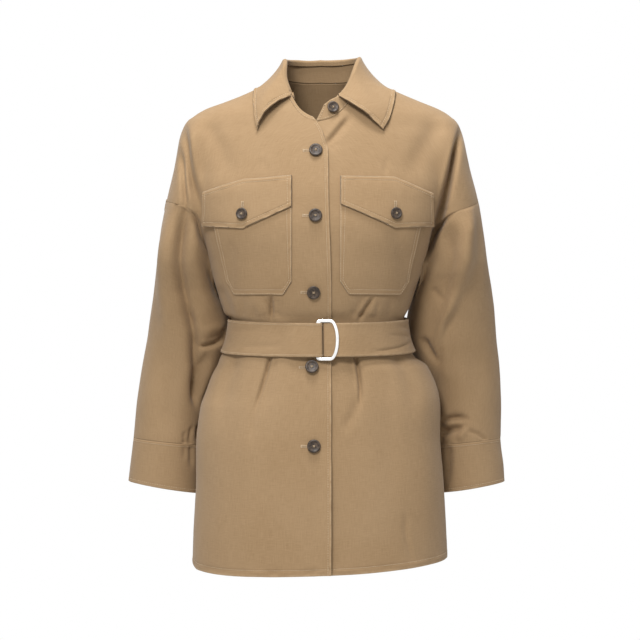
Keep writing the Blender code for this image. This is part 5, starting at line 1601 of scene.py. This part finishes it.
for name, x, level, lift in FRONT_BUTTONS:
    spot, normal = front_point(-1, np.array([x]), np.array([level]), lift)
    place_button(name, spot[0], normal[0], BUTTON_RADIUS)
for name, part in flap_parts.items():
    x, level = part["side"] * part["point_x"], part["point"] + FLAP_BUTTON_RISE
    spot, normal = front_point(part["side"], np.array([x]), np.array([level]), FLAP_LIFT + FLAP_BUTTON_LIFT)
    place_button(name + "_button", spot[0], normal[0], SMALL_BUTTON_RADIUS)
patch = stand_grid(neck, STAND_BUTTON_PLACE + STAND_PATCH * np.array([-1.0, 0.0, 1.0]), 4)
normal = unit(np.cross(patch[2, 2] - patch[2, 0], patch[3, 1] - patch[1, 1]))
normal = normal if normal @ (patch[2, 1] * [1, 1, 0]) > 0 else -normal
place_button("collar_button", patch[2, 1] + normal * STAND_BUTTON_LIFT, normal, SMALL_BUTTON_RADIUS)
print("buttons:", len(placed))

# %% [markdown]
# ## Thread
# Topstitching is a row of short grains of thread, each a little sunk at its ends. More than two thousand
# of them follow the edges, so Geometry Nodes lay them: the remembered lines become curves, are cut to the
# stitch length, and get one small grain at each point, turned along the line and up out of the cloth.
# Buttonholes are the same grains set close together and turned across the line.

# %% Thread material
THREAD_DARK, THREAD_PALE = (0.370, 0.260, 0.150), (0.560, 0.425, 0.280)


def make_thread():
    material, tree, shader = new_material("sewing_thread")
    place = object_place(tree)
    twist = link_noise(tree, scaled(tree, place, (2600.0, 2600.0, 1400.0)), 1.0, 2.0)
    colour = link_mix(tree, link_range(tree, twist, 0.35, 0.65, 0.0, 1.0), THREAD_DARK, THREAD_PALE)
    tree.links.new(colour, shader.inputs["Base Color"])
    tree.links.new(link_range(tree, twist, 0.3, 0.7, 0.55, 0.75), shader.inputs["Roughness"])
    shader.inputs["Sheen Weight"].default_value = 0.15
    link_bump(tree, shader, twist, 0.4, 0.0001)
    return material


sewing_thread = make_thread()
print("thread material has", len(sewing_thread.node_tree.nodes), "nodes")

# %% Row of stitches as a node tree
STITCH_INPUTS = (
    ("Pitch", "NodeSocketFloat"), ("Length", "NodeSocketFloat"), ("Width", "NodeSocketFloat"),
    ("Turn", "NodeSocketFloat"), ("Wander", "NodeSocketFloat"), ("Seed", "NodeSocketInt"),
    ("Thread", "NodeSocketMaterial"),
)
GRAIN_SIDES, GRAIN_RINGS, GRAIN_SIZES = 6, 4, (0.82, 1.12)


def socket_named(sockets, name):
    return next(s for s in sockets if s.name == name and s.enabled)


def make_stitch_tree():
    tree = bpy.data.node_groups.new("row_of_stitches", "GeometryNodeTree")
    tree.is_modifier = True
    tree.interface.new_socket(name="Lines", in_out="INPUT", socket_type="NodeSocketGeometry")
    for name, kind in STITCH_INPUTS:
        tree.interface.new_socket(name=name, in_out="INPUT", socket_type=kind)
    tree.interface.new_socket(name="Stitches", in_out="OUTPUT", socket_type="NodeSocketGeometry")
    new, link = tree.nodes.new, tree.links.new
    given, made = new("NodeGroupInput"), new("NodeGroupOutput")
    curves, cut, grain, lay = (new("GeometryNode" + kind) for kind in (
        "MeshToCurve", "ResampleCurve", "MeshUVSphere", "InstanceOnPoints"))
    link(given.outputs["Lines"], curves.inputs["Mesh"])
    link(curves.outputs["Curve"], cut.inputs["Curve"])
    cut.mode = "LENGTH"
    link(given.outputs["Pitch"], cut.inputs["Length"])
    for name, number in (("Segments", GRAIN_SIDES), ("Rings", GRAIN_RINGS), ("Radius", 0.5)):
        grain.inputs[name].default_value = number
    along, out = new("GeometryNodeInputTangent"), new("GeometryNodeInputNamedAttribute")
    out.data_type = "FLOAT_VECTOR"
    out.inputs["Name"].default_value = "out"
    axes = new("FunctionNodeAxesToRotation")
    axes.primary_axis, axes.secondary_axis = "X", "Z"
    link(along.outputs["Tangent"], axes.inputs["Primary Axis"])
    link(socket_named(out.outputs, "Attribute"), axes.inputs["Secondary Axis"])
    wander, euler, spin, vary = (new("FunctionNode" + kind) for kind in (
        "RandomValue", "EulerToRotation", "RotateRotation", "RandomValue"))
    wander.data_type = vary.data_type = "FLOAT"
    minus, add, turned = new("ShaderNodeMath"), new("ShaderNodeMath"), new("ShaderNodeCombineXYZ")
    minus.operation, add.operation = "MULTIPLY", "ADD"
    minus.inputs[1].default_value = -1.0
    link(given.outputs["Wander"], minus.inputs[0])
    link(minus.outputs[0], socket_named(wander.inputs, "Min"))
    link(given.outputs["Wander"], socket_named(wander.inputs, "Max"))
    link(given.outputs["Seed"], socket_named(wander.inputs, "Seed"))
    link(socket_named(wander.outputs, "Value"), add.inputs[0])
    link(given.outputs["Turn"], add.inputs[1])
    link(add.outputs[0], turned.inputs["Z"])
    link(turned.outputs["Vector"], euler.inputs["Euler"])
    spin.rotation_space = "LOCAL"
    link(axes.outputs["Rotation"], spin.inputs["Rotation"])
    link(euler.outputs["Rotation"], spin.inputs["Rotate By"])
    size, grow = new("ShaderNodeCombineXYZ"), new("ShaderNodeVectorMath")
    link(given.outputs["Length"], size.inputs["X"])
    link(given.outputs["Width"], size.inputs["Y"])
    link(given.outputs["Width"], size.inputs["Z"])
    for name, number in zip(("Min", "Max"), GRAIN_SIZES):
        socket_named(vary.inputs, name).default_value = number
    link(given.outputs["Seed"], socket_named(vary.inputs, "Seed"))
    grow.operation = "SCALE"
    link(size.outputs["Vector"], grow.inputs[0])
    link(socket_named(vary.outputs, "Value"), grow.inputs["Scale"])
    link(cut.outputs["Curve"], lay.inputs["Points"])
    link(grain.outputs["Mesh"], lay.inputs["Instance"])
    link(spin.outputs["Rotation"], lay.inputs["Rotation"])
    link(grow.outputs["Vector"], lay.inputs["Scale"])
    real, smooth, dye = (new("GeometryNode" + kind) for kind in (
        "RealizeInstances", "SetShadeSmooth", "SetMaterial"))
    link(lay.outputs["Instances"], real.inputs["Geometry"])
    link(real.outputs["Geometry"], smooth.inputs["Geometry"])
    link(smooth.outputs["Geometry"], dye.inputs["Geometry"])
    link(given.outputs["Thread"], dye.inputs["Material"])
    link(dye.outputs["Geometry"], made.inputs["Stitches"])
    return tree


stitch_tree = make_stitch_tree()
stitch_socket = {item.name: item.identifier for item in stitch_tree.interface.items_tree
                 if item.in_out == "INPUT"}
print("stitch tree has", len(stitch_tree.nodes), "nodes and inputs", list(stitch_socket))

# %% Sew the topstitching
STITCH_PITCH, STITCH_LENGTH, STITCH_WIDTH = 0.0036, 0.0026, 0.00095


def sewn_lines(name, lines, pitch, length, width, turn=0.0, wander=0.10, seed=1):
    """Grains of thread along lines, as one plain mesh."""
    vertices, edges, out = [], [], []
    for line, away in lines:
        edges += [(len(vertices) + i, len(vertices) + i + 1) for i in range(len(line) - 1)]
        vertices += line.tolist()
        out += away.ravel().tolist()
    mesh = bpy.data.meshes.new(name + "_lines")
    mesh.from_pydata(vertices, edges, [])
    mesh.attributes.new("out", "FLOAT_VECTOR", "POINT").data.foreach_set("vector", out)
    carrier = bpy.data.objects.new(name + "_lines", mesh)
    show(carrier)
    modifier = carrier.modifiers.new("row_of_stitches", "NODES")
    modifier.node_group = stitch_tree
    values = {"Pitch": pitch, "Length": length, "Width": width, "Turn": turn, "Wander": wander,
              "Seed": seed, "Thread": sewing_thread}
    for key, value in values.items():
        modifier[stitch_socket[key]] = value
    return add_piece(name, baked(carrier), sewing_thread)


for seed, (name, lines) in enumerate(stitch_lines.items()):
    item = sewn_lines(name + "_stitches", lines, STITCH_PITCH, STITCH_LENGTH, STITCH_WIDTH, seed=seed)
    print(item.name, len(item.data.polygons) // (GRAIN_SIDES * GRAIN_RINGS), "stitches")

# %% Buttonholes
SLIT_HALF, SLIT_BAR, SLIT_LIFT, SLIT_POINTS = 0.0011, 1.6, 0.0003, 24
SLIT_NEAR, FRONT_SLIT_FAR, FLAP_SLIT_FAR, FLAP_SLIT_LIFT = 0.004, 0.0185, 0.0175, 0.0006
SLIT_GRAIN = {"pitch": 0.00062, "length": 0.0019, "width": 0.00062, "turn": math.pi / 2, "wander": 0.15}


def hole_lines(side, start, end, lift):
    """Two rows beside the slit of a buttonhole and a bar at its far end."""
    start, end = np.array(start), np.array(end)
    along = unit(end - start)
    aside = np.array([-along[1], along[0]]) * SLIT_HALF
    found = []
    bar = (end + aside * SLIT_BAR, end - aside * SLIT_BAR)
    for way in ((start + aside, end + aside), (start - aside, end - aside), bar):
        flat = np.linspace(way[0], way[1], SLIT_POINTS)
        found.append(front_point(side, flat[:, 0], flat[:, 1], lift + SLIT_LIFT))
    return found


hole_rows = []
for name, x, level, lift in FRONT_BUTTONS:
    hole_rows += hole_lines(-1, (x - SLIT_NEAR, level), (x - FRONT_SLIT_FAR, level), 0.0)
flap_rows = {}
for name, part in flap_parts.items():
    spot = part["side"] * part["point_x"]
    foot = part["point"] + FLAP_BUTTON_RISE
    flap_rows[name] = hole_lines(part["side"], (spot, foot + SLIT_NEAR), (spot, foot + FLAP_SLIT_FAR),
                                 FLAP_LIFT + FLAP_SLIT_LIFT)
sewn_lines("front_buttonholes", hole_rows, seed=31, **SLIT_GRAIN)
for name, lines in flap_rows.items():
    sewn_lines(name + "_buttonhole", lines, seed=32, **SLIT_GRAIN)
print("buttonholes:", len(FRONT_BUTTONS) + len(flap_rows))

# %% Thread through the buttons
THREAD_LEVEL, THREAD_APART, THREAD_BASE, THREAD_ARCH, THREAD_SINK = 0.97, 0.00028, 0.0002, 0.0005, 0.0012
SHANK_RADIUS, SHANK_LEVELS = 0.0011, (-0.0013, -0.0004, 0.0006)


def thread_bars(matrix, radius):
    """Crossed thread over the holes and a short shank under the button."""
    found = []
    place = HOLE_PLACE * radius
    for a, b in (((-1, -1), (1, 1)), ((-1, 1), (1, -1))):
        for shift in (-THREAD_APART, THREAD_APART):
            spots, out = [], []
            for s in np.linspace(0, 1, 9):
                x, y = (place * (a[k] + (b[k] - a[k]) * s) for k in (0, 1))
                high = (BUTTON_HEIGHT * THREAD_LEVEL + THREAD_BASE + THREAD_ARCH * math.sin(math.pi * s)
                        - THREAD_SINK * (abs(2 * s - 1) ** 6))
                spots.append(matrix @ Vector((x - shift, y + shift * (1 if a[1] < 0 else -1), high)))
                out.append(matrix.to_3x3() @ Vector((0, 0, 1)))
            found.append((np.array(spots), np.array(out)))
    for t in np.linspace(0, 2 * math.pi, 9)[:-1]:
        x, y = SHANK_RADIUS * math.cos(t), SHANK_RADIUS * math.sin(t)
        spots = [matrix @ Vector((x, y, h)) for h in SHANK_LEVELS]
        found.append((np.array(spots), np.array([matrix.to_3x3() @ Vector((x, y, 0)).normalized()] * 3)))
    return found


bars = [line for matrix, radius in placed for line in thread_bars(matrix, radius)]
sewn_lines("button_thread", bars, pitch=0.00055, length=0.00080, width=0.00050, wander=0.05, seed=33)
print("thread bars:", len(bars))

# %% [markdown]
# ## Studio
# The jacket is shown level with the camera in soft light on white. The camera and the rings see a white
# world, but that world lights the cloth at half strength, so that folds keep their shadow. One soft light
# stands between the camera and the jacket, higher up and a little to the left, and a second one overhead
# brightens the shoulders. The floor is far below, as the jacket hangs at shoulder height.

# %% Floor, light and camera
FLOOR_RADIUS, FLOOR_PLACE, WORLD_ON_CLOTH = 2.6, (0, 0.2, -1.42), 0.50
FLOOR_GREY, FLOOR_PALE = (0.80, 0.80, 0.79), (0.84, 0.84, 0.83)


def make_floor():
    form = bmesh.new()
    bmesh.ops.create_circle(form, cap_ends=True, segments=96, radius=FLOOR_RADIUS)
    bmesh.ops.translate(form, verts=form.verts, vec=FLOOR_PLACE)
    mesh = bpy.data.meshes.new("pale_floor")
    form.to_mesh(mesh)
    form.free()
    material, tree, shader = new_material("pale_floor")
    place = object_place(tree)
    tone = link_mix(tree, link_noise(tree, place, 3.0), FLOOR_GREY, FLOOR_PALE)
    tree.links.new(tone, shader.inputs["Base Color"])
    shader.inputs["Roughness"].default_value = 0.8
    item = bpy.data.objects.new("pale_floor", mesh)
    mesh.materials.append(material)
    show(item)
    return item


def soft_light(name, place, target, size, power):
    data = bpy.data.lights.new(name, "AREA")
    data.shape, data.size, data.energy = "DISK", size, power
    item = bpy.data.objects.new(name, data)
    item.location = place
    item.rotation_euler = (Vector(target) - Vector(place)).to_track_quat("-Z", "Y").to_euler()
    show(item)
    return item


floor = make_floor()
soft_light("key_light", (-0.6, -2.4, 1.5), (0.0, 0.0, -0.25), 0.9, 72.0)
soft_light("top_light", (-0.1, -0.6, 2.2), (0.0, 0.0, -0.2), 0.9, 64.0)
world = bpy.data.worlds.new("white_studio")
world.use_nodes = True
background = world.node_tree.nodes["Background"]
background.inputs["Color"].default_value = (1.0, 1.0, 1.0, 1.0)
on_cloth = world.node_tree.nodes.new("ShaderNodeLightPath").outputs["Is Diffuse Ray"]
strength = link_range(world.node_tree, on_cloth, 0.0, 1.0, 1.0, WORLD_ON_CLOTH)
world.node_tree.links.new(strength, background.inputs["Strength"])
bpy.context.scene.world = world
bpy.context.scene.view_settings.view_transform = "Standard"

CAMERA_DISTANCE, CAMERA_LEVEL, SENSOR = 4.2, -0.3344, 36.0
METRES_PER_PIXEL, FRAME_PIXELS = 0.00152, 640
lens = bpy.data.cameras.new("camera")
lens.sensor_width = SENSOR
lens.lens = SENSOR * CAMERA_DISTANCE / (FRAME_PIXELS * METRES_PER_PIXEL)
camera = bpy.data.objects.new("camera", lens)
camera.location = (0.0, -CAMERA_DISTANCE, CAMERA_LEVEL)
camera.rotation_euler = (math.pi / 2, 0.0, 0.0)
show(camera)
bpy.context.scene.camera = camera
print("lens %.1f mm" % lens.lens)

# %% [markdown]
# ## Attach the pieces and hide the solids
# Each piece rides on the one body of the frame, and the solid that it stands for is hidden. The tables
# list that solid, a material slot for each hard piece and, for cloth, a flat size, measured along the rows
# and columns of the built cloth and all round where it is a tube. Pieces that aren't plain strips list an
# area too, set close to the one printed above. At the end the triangles of all pieces are counted.

# %% What each piece stands for
# piece, node, width, length, area, held, rests_on
SHEETS = (
    ("right_front", "front_right", 0.312, 0.777, 0.195, "hung", ("neck_band", "back_panel")),
    ("left_front", "front_left", 0.355, 0.766, 0.205, "hung", ("neck_band", "back_panel")),
    ("back_panel", "back", 0.597, 0.826, 0.370, "hung", ("neck_band",)),
    ("right_sleeve", "sleeve_right", 0.460, 0.387, 0.129, "hung", ("right_front", "back_panel")),
    ("left_sleeve", "sleeve_left", 0.476, 0.383, 0.131, "hung", ("left_front", "back_panel")),
    ("right_cuff", "cuff_right", 0.338, 0.071, None, "hung", ("right_sleeve",)),
    ("left_cuff", "cuff_left", 0.324, 0.071, None, "hung", ("left_sleeve",)),
    ("neck_band", "collar_stand", 0.484, 0.033, 0.0115, "folded", ("right_front", "left_front", "back_panel")),
    ("collar", "collar_leaf", 0.551, 0.105, 0.0375, "folded", ("neck_band",)),
    ("right_pocket", "pocket_right", 0.135, 0.152, 0.0190, "laid", ("right_front",)),
    ("left_pocket", "pocket_left", 0.138, 0.154, 0.0196, "laid", ("left_front",)),
    ("right_flap", "flap_right", 0.165, 0.077, 0.0100, "hung", ("right_front",)),
    ("left_flap", "flap_left", 0.170, 0.079, 0.0101, "hung", ("left_front",)),
    ("waist_belt", "belt", 1.117, 0.051, None, "stretched", ("right_front", "left_front", "back_panel")),
)
HARD_PIECES = (
    ("inner_ring", "ring_inner", "ring_metal"), ("outer_ring", "ring_outer", "ring_metal"),
    ("front_button_1", "button_1", "button_horn"), ("front_button_2", "button_2", "button_horn"),
    ("front_button_3", "button_3", "button_horn"), ("front_button_4", "button_4", "button_horn"),
    ("front_button_5", "button_5", "button_horn"), ("collar_button", "button_collar", "button_horn"),
    ("right_flap_button", "button_flap_right", "button_horn"),
    ("left_flap_button", "button_flap_left", "button_horn"),
)
for item in pieces.values():
    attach(item, "root")
for name, node, slot in HARD_PIECES:
    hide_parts(node)
for name, node, width, length, area, held, rests_on in SHEETS:
    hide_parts(node)
triangles = {name: sum(len(face.vertices) - 2 for face in item.data.polygons)
             for name, item in pieces.items()}
most = max(triangles, key=triangles.get)
print("pieces:", len(pieces), "triangles:", sum(triangles.values()), "most:", most, triangles[most])
